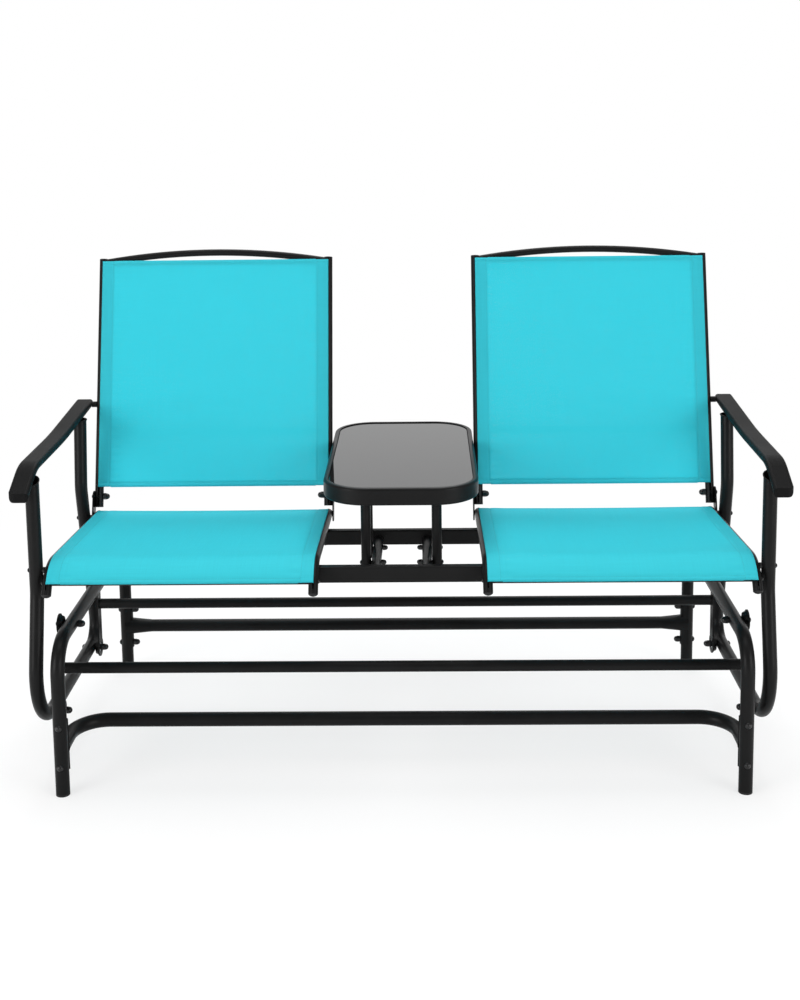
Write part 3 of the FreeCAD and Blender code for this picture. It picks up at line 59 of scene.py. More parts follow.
# Seat rails
RAIL_RADIUS = 0.0095
SEAT_BEND_Y = 0.092
SEAT_HEIGHT = 0.438
SEAT_SLOPE = math.radians(3.7)
SEAT_BEND_RADIUS = 0.070
SEAT_SLING_ANGLE = math.radians(55.5)
SEAT_SLING_REAR_Y = 0.458

# Back tubes
BACK_FOOT_Y = 0.469
BACK_FOOT_RISE = 0.0184
BACK_RECLINE = math.radians(15.5)
BACK_SLING_BOTTOM = 0.043
BACK_SLING_TOP = 0.548

# Cloth
CLOTH_THICKNESS = 0.0007
CLOTH_CLEARANCE = 0.0003
LAYER_GAP = 0.00002
TUCK_DEPTH = 0.0055
TUCK_FOLD = 0.0009
SEAT_SAG = 0.0060
BACK_SAG = 0.0050
CLOTH_STEP = 0.0055
SIDE_HEM = 0.027
END_HEM = 0.012
END_ROLL_RADIUS = 0.0006
HEM_TURN_STEPS = 8
SEAM_INSET = 0.0235
END_SEAM_INSET = 0.0085
SEAM_DIP = 0.00050
SEAM_DIP_WIDTH = 0.0022
PUCKER_HEIGHT = 0.00035
PUCKER_PITCH = 0.017
PUCKER_WIDTH = 0.011
PUCKER_WANDER = 3
PUCKER_WANDER_RATE = 23
PUCKER_BEND_GROWTH = 1.6
SEAT_SLACK_ENDS = 0.30
SEAT_SLACK_MIDDLE = 0.70
SEAT_SLACK_FRONT_LOSS = 0.10
BACK_SLACK_PACE = 1.25
TUCK_STEPS = 4
HEM_STEP = CLOTH_STEP / 4
HEM_START = CLOTH_THICKNESS / 10
SEAM_STEPS = (-2.0, -1.0, -0.5, 0.0, 0.5, 1.0, 2.0)
FACING_PLACE = 0.1
FACING_STEP = 0.001

# Heights of the two layers over the tubes' centre line
HEM_LIFT = RAIL_RADIUS + CLOTH_CLEARANCE + CLOTH_THICKNESS / 2
MAIN_LIFT = HEM_LIFT + CLOTH_THICKNESS + LAYER_GAP

# Stitches, with rings given as shares of half the length and of the radius
STITCH_LENGTH = 0.0034
STITCH_PITCH = 0.0045
STITCH_RADIUS = 0.00032
STITCH_SIDES = 6
STITCH_SINK = 1.2
STITCH_END_GAP = 0.003
STITCH_PROBE = 0.0005
STITCH_RINGS = ((-1.0, 0.35), (-0.8, 0.85), (-0.3, 1.0), (0.3, 1.0), (0.8, 0.85), (1.0, 0.35))

# Welded joints: tubes that end on a leg's saddle, on a link or under an armrest
CROSSBAR_RADIUS = 0.014
CROSSBAR_HEIGHT = 0.091
SADDLE_RADIUS = 0.016
SWING_TUBE_RADIUS = 0.011
ARM_TUBE_RADIUS = 0.0135
ARM_POST_YS = (0.055, 0.4422)
ARMREST_TIP = (0.002, 0.588)
ARMREST_KNEE = (0.078, 0.627)
ARMREST_DIP = (0.297, 0.631)
ARMREST_REAR = (0.542, 0.651)
ARMREST_HALF_THICKNESS = 0.008

# Weld beads
WELD_RADIUS = 0.0016
WELD_RIPPLE = 0.0026
WELD_RIPPLE_SHARE = 0.13
WELD_SIDES = 8
WELD_STEPS = 160

# Camera, fitted to the photo: pixels of an 800 by 1000 picture
PHOTO_HEIGHT_PIXELS = 1000
FOCAL_PIXELS = 1397.5
PRINCIPAL_ROW = 292.2
SENSOR = 36.0
CAMERA_X = 0.0503
CAMERA_SETBACK = 2.5233
CAMERA_HEIGHT = 1.3258
CAMERA_YAW = math.radians(-1.0)
CAMERA_PITCH = math.radians(8.0)
CAMERA_ROLL = math.radians(-0.7)

# Finishes
BLACK_PAINT = (0.0066, 0.0066, 0.0067, 1.0)
# The armrests' paint is the frame's black made a little darker: painted shade for their lit tops
ARMREST_PAINT_WITH_PAINTED_SHADE = (0.0056, 0.0056, 0.0057, 1.0)
BLACK_OXIDE = (0.0045, 0.0045, 0.0048, 1.0)
BLACK_PLASTIC = (0.0080, 0.0080, 0.0083, 1.0)
RUBBER = (0.0085, 0.0085, 0.0085, 1.0)
STEEL = (0.45, 0.46, 0.47, 1.0)
GLASS_TINT = (0.010, 0.0105, 0.011, 1.0)
CLOTH_COLOUR = (0.064, 0.715, 0.810, 1.0)
# The darker end of the cloth's colour: darker yarn streaks, and painted shade in the weave's valleys
CLOTH_STREAK_AND_VALLEY_SHADE = (0.046, 0.565, 0.650, 1.0)
THREAD_COLOUR = (0.045, 0.560, 0.630, 1.0)
WEAVE_PITCH = 0.0013
WEAVE_CROWN = 0.45
WEAVE_PINHOLE = 0.20
# How far the colour darkens from the yarn crowns into the weave's valleys: painted shade
WEAVE_VALLEY_SHADE = 0.55
WEAVE_VALLEY_SHADE_BASE = 0.05
STREAK_TONE = 0.42
STREAK_FINE = 420.0
STREAK_LONG = 9.0
GLOW_SHARE = 0.45
CLOUD_SCALE = 18.0
CLOUD_LIGHTENS = 1.7
CLOUD_ROUGHENS = 0.06
PITS_LIGHTEN = 1.8
PITS_ROUGHEN = 0.08
TWIST_DARKENS = 0.7
GRINDING_SCALE = (900, 60, 60)

# Studio
STUDIO_FILL_FRONT = 0.42
STUDIO_FILL_BEHIND = 0.95
STUDIO_DIM = 0.10
FLOOR_SHADE_REACH = 0.75
FLOOR_WHITE_REACH = 2.0
FLOOR_WHITE_SHARE = 0.66
FLOOR_SEEN = (0.82, 0.82, 0.82, 1.0)
FLOOR_LIT = (0.34, 0.34, 0.34, 1.0)
FLOOR_HALF = 14.0
WHITE = (1.0, 1.0, 1.0, 1.0)
MIRRORED_FADE = (0.2, 0.8)
FILL_FADE = (-0.6, 0.6)

# Studio lights: name, place, size and power, all aimed at one point
LIGHT_AIM = (0.0, 0.0, 0.45)
SOFTBOXES = (
    ("overhead", (0.0, 0.15, 4.2), 3.5, 100.0),
    ("front_left", (-3.0, -2.7, 1.2), 2.0, 90.0),
    ("front_right", (3.0, -2.7, 1.2), 2.0, 76.0),
    ("behind", (0.0, 3.0, 3.6), 2.4, 60.0),
)


# Node helpers

def add_node(tree, kind, inputs=None, **settings):
    """Add a shader node. An input is a plain value or another node's output socket."""
    made = tree.nodes.new("ShaderNode" + kind)
    for key, value in settings.items():
        setattr(made, key, value)
    for key, value in (inputs or {}).items():
        if isinstance(value, bpy.types.NodeSocket):
            tree.links.new(value, made.inputs[key])
        else:
            made.inputs[key].default_value = value
    return made


def calc(tree, operation, *values):
    """The output of a Math node."""
    return add_node(tree, "Math", dict(enumerate(values)), operation=operation).outputs[0]


def blend_colour(tree, share, first, second):
    """The output of a colour Mix node."""
    inputs = {"Factor": share, 6: first, 7: second}
    return add_node(tree, "Mix", inputs, data_type="RGBA").outputs[2]


def noise(tree, vector, scale, detail=2.0):
    """The grey output of a noise texture."""
    inputs = {"Vector": vector, "Scale": scale, "Detail": detail}
    return add_node(tree, "TexNoise", inputs).outputs[0]


def spread(tree, value, low, high):
    """A 0 to 1 value moved to another range."""
    return add_node(tree, "MapRange", {0: value, 3: low, 4: high}).outputs[0]


def faded(tree, value, limits, low, high):
    """A value between two limits moved to another range, and held at its ends."""
    return add_node(tree, "MapRange", {0: value, 1: limits[0], 2: limits[1], 3: low, 4: high}).outputs[0]


def bump(tree, height, strength, distance):
    """A normal from a height."""
    inputs = {"Height": height, "Strength": strength, "Distance": distance}
    return add_node(tree, "Bump", inputs).outputs[0]


def toned(colour, factor):
    """A colour made lighter or darker, still opaque."""
    return tuple(factor * value for value in colour[:3]) + (1.0,)


def empty_material(name):
    """A material with only its output node."""
    material = bpy.data.materials.new(name)
    material.use_nodes = True
    tree = material.node_tree
    tree.nodes.clear()
    output = tree.nodes.new("ShaderNodeOutputMaterial")
    return material, tree, output.inputs["Surface"]


# Finishes

def coated_metal(name, colour, roughness, grain, depth, shine):
    """Painted or plated metal: a fine orange-peel skin with faint cloudiness in its gloss."""
    material, tree, surface = empty_material(name)
    place = add_node(tree, "TexCoord").outputs["Object"]
    peel = noise(tree, place, grain, detail=3.0)
    cloud = noise(tree, place, CLOUD_SCALE, detail=4.0)
    lighter = toned(colour, CLOUD_LIGHTENS)
    inputs = {
        "Base Color": blend_colour(tree, cloud, colour, lighter),
        "Roughness": spread(tree, cloud, roughness - CLOUD_ROUGHENS, roughness + CLOUD_ROUGHENS),
        "Specular IOR Level": shine,
        "Normal": bump(tree, peel, strength=0.35, distance=depth),
    }
    tree.links.new(add_node(tree, "BsdfPrincipled", inputs).outputs[0], surface)
    return material


def moulded(name, colour, roughness, grain):
    """Moulded plastic or rubber with a fine eroded grain."""
    material, tree, surface = empty_material(name)
    place = add_node(tree, "TexCoord").outputs["Object"]
    pits = noise(tree, place, grain, detail=5.0)
    lighter = toned(colour, PITS_LIGHTEN)
    inputs = {
        "Base Color": blend_colour(tree, pits, colour, lighter),
        "Roughness": spread(tree, pits, roughness - PITS_ROUGHEN, roughness + PITS_ROUGHEN),
        "Specular IOR Level": 0.3,
        "Normal": bump(tree, pits, strength=0.4, distance=0.0001),
    }
    tree.links.new(add_node(tree, "BsdfPrincipled", inputs).outputs[0], surface)
    return material


def ground_steel():
    """Bright bearing steel with fine grinding marks round the bore."""
    material, tree, surface = empty_material("ground_steel")
    place = add_node(tree, "TexCoord").outputs["Object"]
    stretched = add_node(tree, "Mapping", {"Vector": place, "Scale": GRINDING_SCALE}).outputs[0]
    marks = noise(tree, stretched, scale=1.0)
    inputs = {
        "Base Color": STEEL,
        "Metallic": 1.0,
        "Roughness": spread(tree, marks, low=0.22, high=0.38),
        "Normal": bump(tree, marks, strength=0.2, distance=0.00005),
    }
    tree.links.new(add_node(tree, "BsdfPrincipled", inputs).outputs[0], surface)
    return material


def tinted_glass():
    """Dark tempered glass: a polished skin over a nearly black body, with the faintest dust."""
    material, tree, surface = empty_material("tinted_glass")
    place = add_node(tree, "TexCoord").outputs["Object"]
    dust = noise(tree, place, scale=40.0, detail=6.0)
    inputs = {
        "Base Color": GLASS_TINT,
        "Roughness": spread(tree, dust, low=0.015, high=0.045),
        "IOR": 1.52,
        "Transmission Weight": 0.12,
        "Specular IOR Level": 0.5,
    }
    tree.links.new(add_node(tree, "BsdfPrincipled", inputs).outputs[0], surface)
    return material


def mesh_cloth():
    """Woven mesh of coated yarn: plain weave with pinholes, painted shade in the weave's valleys, streaks along
    the yarns, light from behind.
    """
    material, tree, surface = empty_material("mesh_cloth")
    cloth = add_node(tree, "UVMap", uv_map="cloth").outputs[0]
    split = add_node(tree, "SeparateXYZ", {0: cloth})
    across = calc(tree, "DIVIDE", split.outputs[0], WEAVE_PITCH)
    along = calc(tree, "DIVIDE", split.outputs[1], WEAVE_PITCH)
    warp = calc(tree, "SINE", calc(tree, "MULTIPLY", calc(tree, "FRACT", across), math.pi))
    weft = calc(tree, "SINE", calc(tree, "MULTIPLY", calc(tree, "FRACT", along), math.pi))
    cells = calc(tree, "ADD", calc(tree, "FLOOR", across), calc(tree, "FLOOR", along))
    weft_on_top = calc(tree, "FLOORED_MODULO", cells, 2.0)
    warp_crown = calc(tree, "MULTIPLY_ADD", weft, WEAVE_CROWN, 1.0 - WEAVE_CROWN)
    weft_crown = calc(tree, "MULTIPLY_ADD", warp, WEAVE_CROWN, 1.0 - WEAVE_CROWN)
    warp_height = calc(tree, "MULTIPLY", warp, warp_crown)
    weft_height = calc(tree, "MULTIPLY", weft, weft_crown)
    height = add_node(tree, "Mix", {0: weft_on_top, 2: warp_height, 3: weft_height}).outputs[0]
    corner = calc(tree, "MAXIMUM", warp, weft)
    hole = calc(tree, "LESS_THAN", corner, WEAVE_PINHOLE)
    streaks = []
    for scale in ((STREAK_FINE, STREAK_LONG, 1.0), (STREAK_LONG, STREAK_FINE, 1.0)):
        stretched = add_node(tree, "Mapping", {"Vector": cloth, "Scale": scale}).outputs[0]
        streaks.append(noise(tree, stretched, scale=1.0))
    # Painted shade: the colour darkens from the yarn crowns into the weave's valleys; the added streaks are the
    # yarns' own uneven tone
    weave_valley_shade = calc(tree, "MULTIPLY_ADD", height, WEAVE_VALLEY_SHADE, WEAVE_VALLEY_SHADE_BASE)
    streaks_and_valley_shade = calc(tree, "MULTIPLY_ADD", calc(tree, "ADD", *streaks), STREAK_TONE, weave_valley_shade)
    colour = blend_colour(tree, streaks_and_valley_shade, CLOTH_STREAK_AND_VALLEY_SHADE, CLOTH_COLOUR)
    normal = bump(tree, height, strength=0.35, distance=0.00025)
    inputs = {
        "Base Color": colour,
        "Roughness": spread(tree, height, low=0.66, high=0.50),
        "Specular IOR Level": 0.08,
        "Normal": normal,
    }
    yarn = add_node(tree, "BsdfPrincipled", inputs).outputs[0]
    glow = add_node(tree, "BsdfTranslucent", {"Color": colour, "Normal": normal}).outputs[0]
    body = add_node(tree, "MixShader", {0: GLOW_SHARE, 1: yarn, 2: glow}).outputs[0]
    open_air = add_node(tree, "BsdfTransparent").outputs[0]
    tree.links.new(add_node(tree, "MixShader", {0: hole, 1: body, 2: open_air}).outputs[0], surface)
    return material


def sewing_thread():
    """Twisted polyester thread."""
    material, tree, surface = empty_material("sewing_thread")
    place = add_node(tree, "TexCoord").outputs["Object"]
    twist = noise(tree, place, scale=2600.0, detail=1.0)
    darker = toned(THREAD_COLOUR, TWIST_DARKENS)
    inputs = {
        "Base Color": blend_colour(tree, twist, darker, THREAD_COLOUR),
        "Roughness": spread(tree, twist, low=0.45, high=0.65),
        "Specular IOR Level": 0.25,
        "Normal": bump(tree, twist, strength=0.4, distance=0.0001),
    }
    tree.links.new(add_node(tree, "BsdfPrincipled", inputs).outputs[0], surface)
    return material


FINISHES = {
    "frame": coated_metal("powder_coat", BLACK_PAINT, roughness=0.36, grain=520.0, depth=0.00010,
                          shine=0.10),
    # The armrests wear the frame's powder coat in a darker colour, painted shade for their tops under the overhead
    # light
    "armrest": coated_metal("armrest_coat", ARMREST_PAINT_WITH_PAINTED_SHADE, roughness=0.46, grain=700.0, depth=0.00015,
                            shine=0.04),
    "fasteners": coated_metal("black_oxide", BLACK_OXIDE, roughness=0.33, grain=900.0, depth=0.00006,
                              shine=0.40),
    "plugs": moulded("black_plastic", BLACK_PLASTIC, roughness=0.55, grain=1400.0),
    "pads": moulded("rubber", RUBBER, roughness=0.75, grain=1800.0),
    "bearings": ground_steel(),
    "glass": tinted_glass(),
    "sling": mesh_cloth(),
}
THREAD = sewing_thread()


def finish_cad_nodes():
    """Give each CAD node the finish of its material slot in the record."""
    for row in frame["record"]["subparts"]:
        mesh = frame["nodes"][row["node"]].data
        mesh.materials.clear()
        mesh.materials.append(FINISHES[row["material_slot"]])


# Mesh helpers

def new_piece(name, points, faces, material, body):
    """A smooth mesh piece that rides on a CAD body."""
    mesh = bpy.data.meshes.new(name)
    mesh.from_pydata([tuple(point) for point in points], [], faces)
    mesh.materials.append(material)
    mesh.polygons.foreach_set("use_smooth", [True] * len(mesh.polygons))
    piece = bpy.data.objects.new(name, mesh)
    bpy.context.scene.collection.objects.link(piece)
    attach(piece, body)
    return piece


def grid_normals(grid):
    """Unit normals of a grid of points, across turned towards along."""
    across = np.gradient(grid, axis=0)
    along = np.gradient(grid, axis=1)
    normals = np.cross(across, along)
    return normals / np.linalg.norm(normals, axis=2, keepdims=True)


def running_lengths(grid, axis):
    """Lengths along the middle line of a grid, from its first point."""
    middle = grid[:, grid.shape[1] // 2] if axis == 0 else grid[grid.shape[0] // 2]
    steps = np.linalg.norm(np.diff(middle, axis=0), axis=1)
    return np.concatenate([[0.0], np.cumsum(steps)])


def closed_sheet(name, grid):
    """A closed sheet of cloth about a grid of middle points, with cloth coordinates in metres."""
    rows, columns = grid.shape[:2]
    normals = grid_normals(grid) * (CLOTH_THICKNESS / 2)
    points = np.concatenate([(grid + normals).reshape(-1, 3), (grid - normals).reshape(-1, 3)])
    under = rows * columns

    def number(row, column):
        return row * columns + column

    faces = []
    for row in range(rows - 1):
        for column in range(columns - 1):
            quad = [number(row, column), number(row + 1, column), number(row + 1, column + 1),
                    number(row, column + 1)]
            faces.append(quad)
            faces.append([under + corner_number for corner_number in reversed(quad)])
    border = [number(row, 0) for row in range(rows)]
    border += [number(rows - 1, column) for column in range(1, columns)]
    border += [number(row, columns - 1) for row in range(rows - 2, -1, -1)]
    border += [number(0, column) for column in range(columns - 2, 0, -1)]
    for here, after in zip(border, border[1:] + border[:1]):
        faces.append([after, here, under + here, under + after])
    piece = new_piece(name, points, faces, FINISHES["sling"], "seat")
    add_cloth_map(piece.data, grid)
    return piece


def add_cloth_map(mesh, grid):
    """A UV map in metres along the cloth."""
    u = running_lengths(grid, 0)
    v = running_lengths(grid, 1)
    places = np.stack(np.meshgrid(u, v, indexing="ij"), axis=2).reshape(-1, 2)
    places = np.concatenate([places, places])
    corners = np.zeros(len(mesh.loops), np.int32)
    mesh.loops.foreach_get("vertex_index", corners)
    layer = mesh.uv_layers.new(name="cloth")
    layer.data.foreach_set("uv", places[corners].astype(np.float32).ravel())


# Slings

class Sling:
    """One sling: where its flat cloth runs, set out from the middle between its two tubes."""

    def __init__(self, name, middle_x, half_width, length, sag, bend_start):
        self.name = name
        self.middle_x = middle_x
        self.half_width = half_width
        self.length = length
        self.sag = sag
        self.bend_start = bend_start

    def path(self, s):
        """Points and normals (Y, Z) of the tubes' centre line at lengths along the cloth."""
        raise NotImplementedError

    def slack(self, s):
        """Share of the sag at lengths along the cloth."""
        raise NotImplementedError

    def hang(self, a, s):
        """How far the cloth lies under its flat place: sag, seam dips and puckers."""
        width = np.clip(np.abs(a) / self.half_width, 0.0, 1.0)
        down = self.sag * self.slack(s) * (1 - width ** 2)
        seam = self.half_width - SEAM_INSET
        offset = np.abs(a) - seam
        down = down + SEAM_DIP * np.exp(-(offset / SEAM_DIP_WIDTH) ** 2)
        for end in (END_SEAM_INSET, self.length - END_SEAM_INSET):
            down = down + SEAM_DIP * np.exp(-((s - end) / SEAM_DIP_WIDTH) ** 2)
        wander = PUCKER_WANDER * np.sin(s * PUCKER_WANDER_RATE)
        wave = np.sin(2 * np.pi * s / PUCKER_PITCH + wander + np.sign(a))
        grow = 1 + PUCKER_BEND_GROWTH * (s > self.bend_start)
        inner = np.exp(-((offset + PUCKER_WIDTH) / PUCKER_WIDTH) ** 2)
        return down + PUCKER_HEIGHT * grow * wave * inner

    def place(self, a, s, lift):
        """Points at places across and lengths along the cloth, at a height over the tubes' centre line."""
        a, s, lift = np.broadcast_arrays(a, s, lift)
        centre, normal = self.path(s)
        height = lift - self.hang(a, s)
        x = self.middle_x + a
        y = centre[0] + normal[0] * height
        z = centre[1] + normal[1] * height
        return np.stack([x, y, z], axis=-1)

    def upper_face(self):
        """The sign that turns across x along to the cloth's upper side."""
        middle = Vector(self.place(0.0, FACING_PLACE, MAIN_LIFT))
        across = Vector(self.place(FACING_STEP, FACING_PLACE, MAIN_LIFT)) - middle
        along = Vector(self.place(0.0, FACING_PLACE + FACING_STEP, MAIN_LIFT)) - middle
        over = Vector(self.place(0.0, FACING_PLACE, MAIN_LIFT + FACING_STEP)) - middle
        return 1 if across.cross(along).dot(over) > 0 else -1


class SeatSling(Sling):
    """A seat's sling, from the rear over the front bend."""

    def path(self, s):
        run = self.bend_start
        radius = SEAT_BEND_RADIUS + MAIN_LIFT
        turn = np.clip((s - run) / radius, 0.0, None) - SEAT_SLOPE
        straight = np.minimum(s, run) - run
        start_y = FRONT_LEG_Y + SEAT_BEND_Y
        centre_y = start_y - SEAT_BEND_RADIUS * math.sin(SEAT_SLOPE)
        centre_z = SEAT_HEIGHT - SEAT_BEND_RADIUS * math.cos(SEAT_SLOPE)
        normal = (-np.sin(turn), np.cos(turn))
        y = centre_y + normal[0] * SEAT_BEND_RADIUS - straight * math.cos(SEAT_SLOPE)
        z = centre_z + normal[1] * SEAT_BEND_RADIUS + straight * math.sin(SEAT_SLOPE)
        return (y, z), normal

    def slack(self, s):
        share = np.clip(s / self.length, 0.0, 1.0)
        return SEAT_SLACK_ENDS + SEAT_SLACK_MIDDLE * np.sin(np.pi * share) - SEAT_SLACK_FRONT_LOSS * share


class BackSling(Sling):
    """A back's sling, from its bottom edge up."""

    def path(self, s):
        slope_fall = math.tan(SEAT_SLOPE) * (BACK_FOOT_Y - SEAT_BEND_Y)
        foot_z = SEAT_HEIGHT - slope_fall + BACK_FOOT_RISE
        up = BACK_SLING_BOTTOM + s
        y = FRONT_LEG_Y + BACK_FOOT_Y + up * math.sin(BACK_RECLINE)
        z = foot_z + up * math.cos(BACK_RECLINE)
        flat = np.ones_like(s)
        return (y, z), (-math.cos(BACK_RECLINE) * flat, math.sin(BACK_RECLINE) * flat)

    def slack(self, s):
        share = np.clip(s / self.length, 0.0, 1.0)
        return np.sin(np.pi * np.minimum(share * BACK_SLACK_PACE, 1.0)) ** 2


def places_between(first, last, step, extra=()):
    """Evenly spaced places with some extra ones, in order."""
    count = max(2, int(round((last - first) / step)) + 1)
    inside = [place for place in extra if first < place < last]
    return np.unique(np.concatenate([np.linspace(first, last, count), inside]))


def seam_places(seam):
    """Places close to a seam, where the cloth dips."""
    return [seam + k * SEAM_DIP_WIDTH for k in SEAM_STEPS]


def along_places(sling):
    """Places along a sling, closer together at its end seams."""
    extra = seam_places(END_SEAM_INSET) + seam_places(sling.length - END_SEAM_INSET)
    return places_between(0.0, sling.length, CLOTH_STEP, extra)


def tuck(edge, inward):
    """Across and down places of a cloth edge that turns from its flat run into the tube's slot."""
    across = [edge]
    down = [TUCK_DEPTH]
    for k in range(TUCK_STEPS + 1):
        angle = k / TUCK_STEPS * math.pi / 2
        across.append(edge + inward * TUCK_FOLD * (1 - math.cos(angle)))
        down.append(TUCK_FOLD * (1 - math.sin(angle)))
    return np.array(across), np.array(down)


def profile_grid(sling, across, down, along, lift):
    """A grid of middle points from a profile across the cloth, repeated along it."""
    a = across[:, None]
    s = along[None, :]
    return sling.place(a, s, lift - down[:, None])


def main_cloth(sling):
    """The sling's full cloth, tucked into both slots."""
    edge = sling.half_width + CLOTH_THICKNESS / 2
    left, left_down = tuck(-edge, 1)
    right, right_down = tuck(edge, -1)
    seam = sling.half_width - SEAM_INSET
    seams = seam_places(-seam) + seam_places(seam)
    flat = places_between(-edge + TUCK_FOLD, edge - TUCK_FOLD, CLOTH_STEP, seams)
    across = np.concatenate([left, flat[1:-1], right[::-1]])
    down = np.concatenate([left_down, np.zeros(len(flat) - 2), right_down[::-1]])
    along = along_places(sling)
    grid = profile_grid(sling, across, down, along, MAIN_LIFT)
    return closed_sheet(sling.name + "_cloth", grid)


def side_hem(sling, side, label):
    """The second layer that folds back under the cloth from a slot to its seam."""
    edge = side * (sling.half_width - CLOTH_THICKNESS / 2)
    turned, turned_down = tuck(edge, -side)
    inner = side * (sling.half_width - SIDE_HEM)
    seam = sling.half_width - SEAM_INSET
    low, high = sorted((turned[-1], inner))
    flat = places_between(low, high, CLOTH_STEP, seam_places(side * seam))
    if side > 0:
        across = np.concatenate([flat[:-1], turned[::-1]])
        down = np.concatenate([np.zeros(len(flat) - 1), turned_down[::-1]])
    else:
        across = np.concatenate([turned, flat[1:]])
        down = np.concatenate([turned_down, np.zeros(len(flat) - 1)])
    along = along_places(sling)
    grid = profile_grid(sling, across, down, along, HEM_LIFT)
    return closed_sheet(sling.name + "_" + label + "_hem", grid)


def end_hem(sling, end, inward, label):
    """The layer that rolls over a free end of the cloth and runs in under it to its seam."""
    reach = sling.half_width - SIDE_HEM - CLOTH_THICKNESS
    across = places_between(-reach, reach, CLOTH_STEP)
    lengths = [end + inward * HEM_START]
    lifts = [MAIN_LIFT]
    for k in range(HEM_TURN_STEPS + 1):
        angle = k / HEM_TURN_STEPS * math.pi
        lengths.append(end - inward * END_ROLL_RADIUS * math.sin(angle))
        lifts.append(MAIN_LIFT - END_ROLL_RADIUS * (1 - math.cos(angle)))
    roll_lift = MAIN_LIFT - 2 * END_ROLL_RADIUS
    for place in places_between(0.0, END_HEM, HEM_STEP)[1:]:
        closing = min(1.0, place / END_SEAM_INSET)
        lengths.append(end + inward * place)
        lifts.append(roll_lift + (HEM_LIFT - roll_lift) * closing)
    if inward < 0:
        lengths, lifts = lengths[::-1], lifts[::-1]
    grid = sling.place(across[:, None], np.array(lengths)[None, :], np.array(lifts)[None, :])
    return closed_sheet(sling.name + "_" + label + "_hem", grid)


def add_stitch(points, faces, middle, heading, normal):
    """One stitch: a short thread that lies on the cloth and dives in at both ends."""
    sideways = heading.cross(normal).normalized()
    first = len(points)
    for place, share in STITCH_RINGS:
        sink = normal * (STITCH_RADIUS * STITCH_SINK * (share - 1.0))
        centre = middle + heading * (STITCH_LENGTH / 2 * place) + sink
        for k in range(STITCH_SIDES):
            angle = 2 * math.pi * k / STITCH_SIDES
            radial = sideways * math.cos(angle) + normal * math.sin(angle)
            points.append(centre + radial * (STITCH_RADIUS * share))
    for ring in range(len(STITCH_RINGS) - 1):
        for k in range(STITCH_SIDES):
            here = first + ring * STITCH_SIDES
            after = (k + 1) % STITCH_SIDES
            faces.append([here + k, here + after, here + STITCH_SIDES + after, here + STITCH_SIDES + k])
    faces.append([first + k for k in reversed(range(STITCH_SIDES))])
    last = first + (len(STITCH_RINGS) - 1) * STITCH_SIDES
    faces.append([last + k for k in range(STITCH_SIDES)])


def stitch_row(points, faces, sling, ends, lift, facing):
    """Stitches along a straight seam of the cloth, on its upper (1) or its under (-1) face."""
    (a0, s0), (a1, s1) = ends
    run = math.hypot(a1 - a0, s1 - s0)
    count = int(run / STITCH_PITCH)
    for k in range(count):
        share = (k + 0.5) / count
        a = a0 + (a1 - a0) * share
        s = s0 + (s1 - s0) * share
        middle = Vector(sling.place(a, s, lift))
        across = Vector(sling.place(a + STITCH_PROBE, s, lift)) - middle
        along = Vector(sling.place(a, s + STITCH_PROBE, lift)) - middle
        heading = along if abs(s1 - s0) > abs(a1 - a0) else across
        normal = across.cross(along).normalized() * facing
        add_stitch(points, faces, middle, heading.normalized(), normal)


def stitching(sling):
    """All the seams of a sling, seen from both faces."""
    points = []
    faces = []
    seam = sling.half_width - SEAM_INSET
    near = END_SEAM_INSET
    far = sling.length - END_SEAM_INSET
    start = STITCH_END_GAP
    stop = sling.length - STITCH_END_GAP
    rows = [((-seam, start), (-seam, stop)), ((seam, start), (seam, stop)), ((-seam, near), (seam, near)),
            ((-seam, far), (seam, far))]
    over = MAIN_LIFT + CLOTH_THICKNESS / 2
    under = HEM_LIFT - CLOTH_THICKNESS / 2
    facing = sling.upper_face()
    for ends in rows:
        stitch_row(points, faces, sling, ends, over, facing)
        stitch_row(points, faces, sling, ends, under, -facing)
    return new_piece(sling.name + "_stitching", points, faces, THREAD, "seat")


def build_sling(sling, node):
    """One sling with its hems and seams, in the place of its CAD solid."""
    cloth = main_cloth(sling)
    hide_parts(node)
    pieces = [side_hem(sling, -1, "side_a"), side_hem(sling, 1, "side_b"), end_hem(sling, 0.0, 1, "first"),
              end_hem(sling, sling.length, -1, "last"), stitching(sling)]


def build_slings():
    """Both seats' and both backs' slings."""
    run = (SEAT_SLING_REAR_Y - SEAT_BEND_Y) / math.cos(SEAT_SLOPE)
    bend = (SEAT_SLING_ANGLE + SEAT_SLOPE) * (SEAT_BEND_RADIUS + MAIN_LIFT)
    for side in SIDES:
        rails = [side + "_seat_inner_rail", side + "_seat_outer_rail"]
        places = [sum(corner.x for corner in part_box(rail)) / 2 for rail in rails]
        middle = sum(places) / 2
        half = abs(places[1] - places[0]) / 2
        seat = SeatSling(side + "_seat", middle, half, run + bend, SEAT_SAG, run)
        build_sling(seat, side + "_seat_sling")
        length = BACK_SLING_TOP - BACK_SLING_BOTTOM
        back = BackSling(side + "_back", middle, half, length, BACK_SAG, length)
        build_sling(back, side + "_back_sling")


# Weld beads

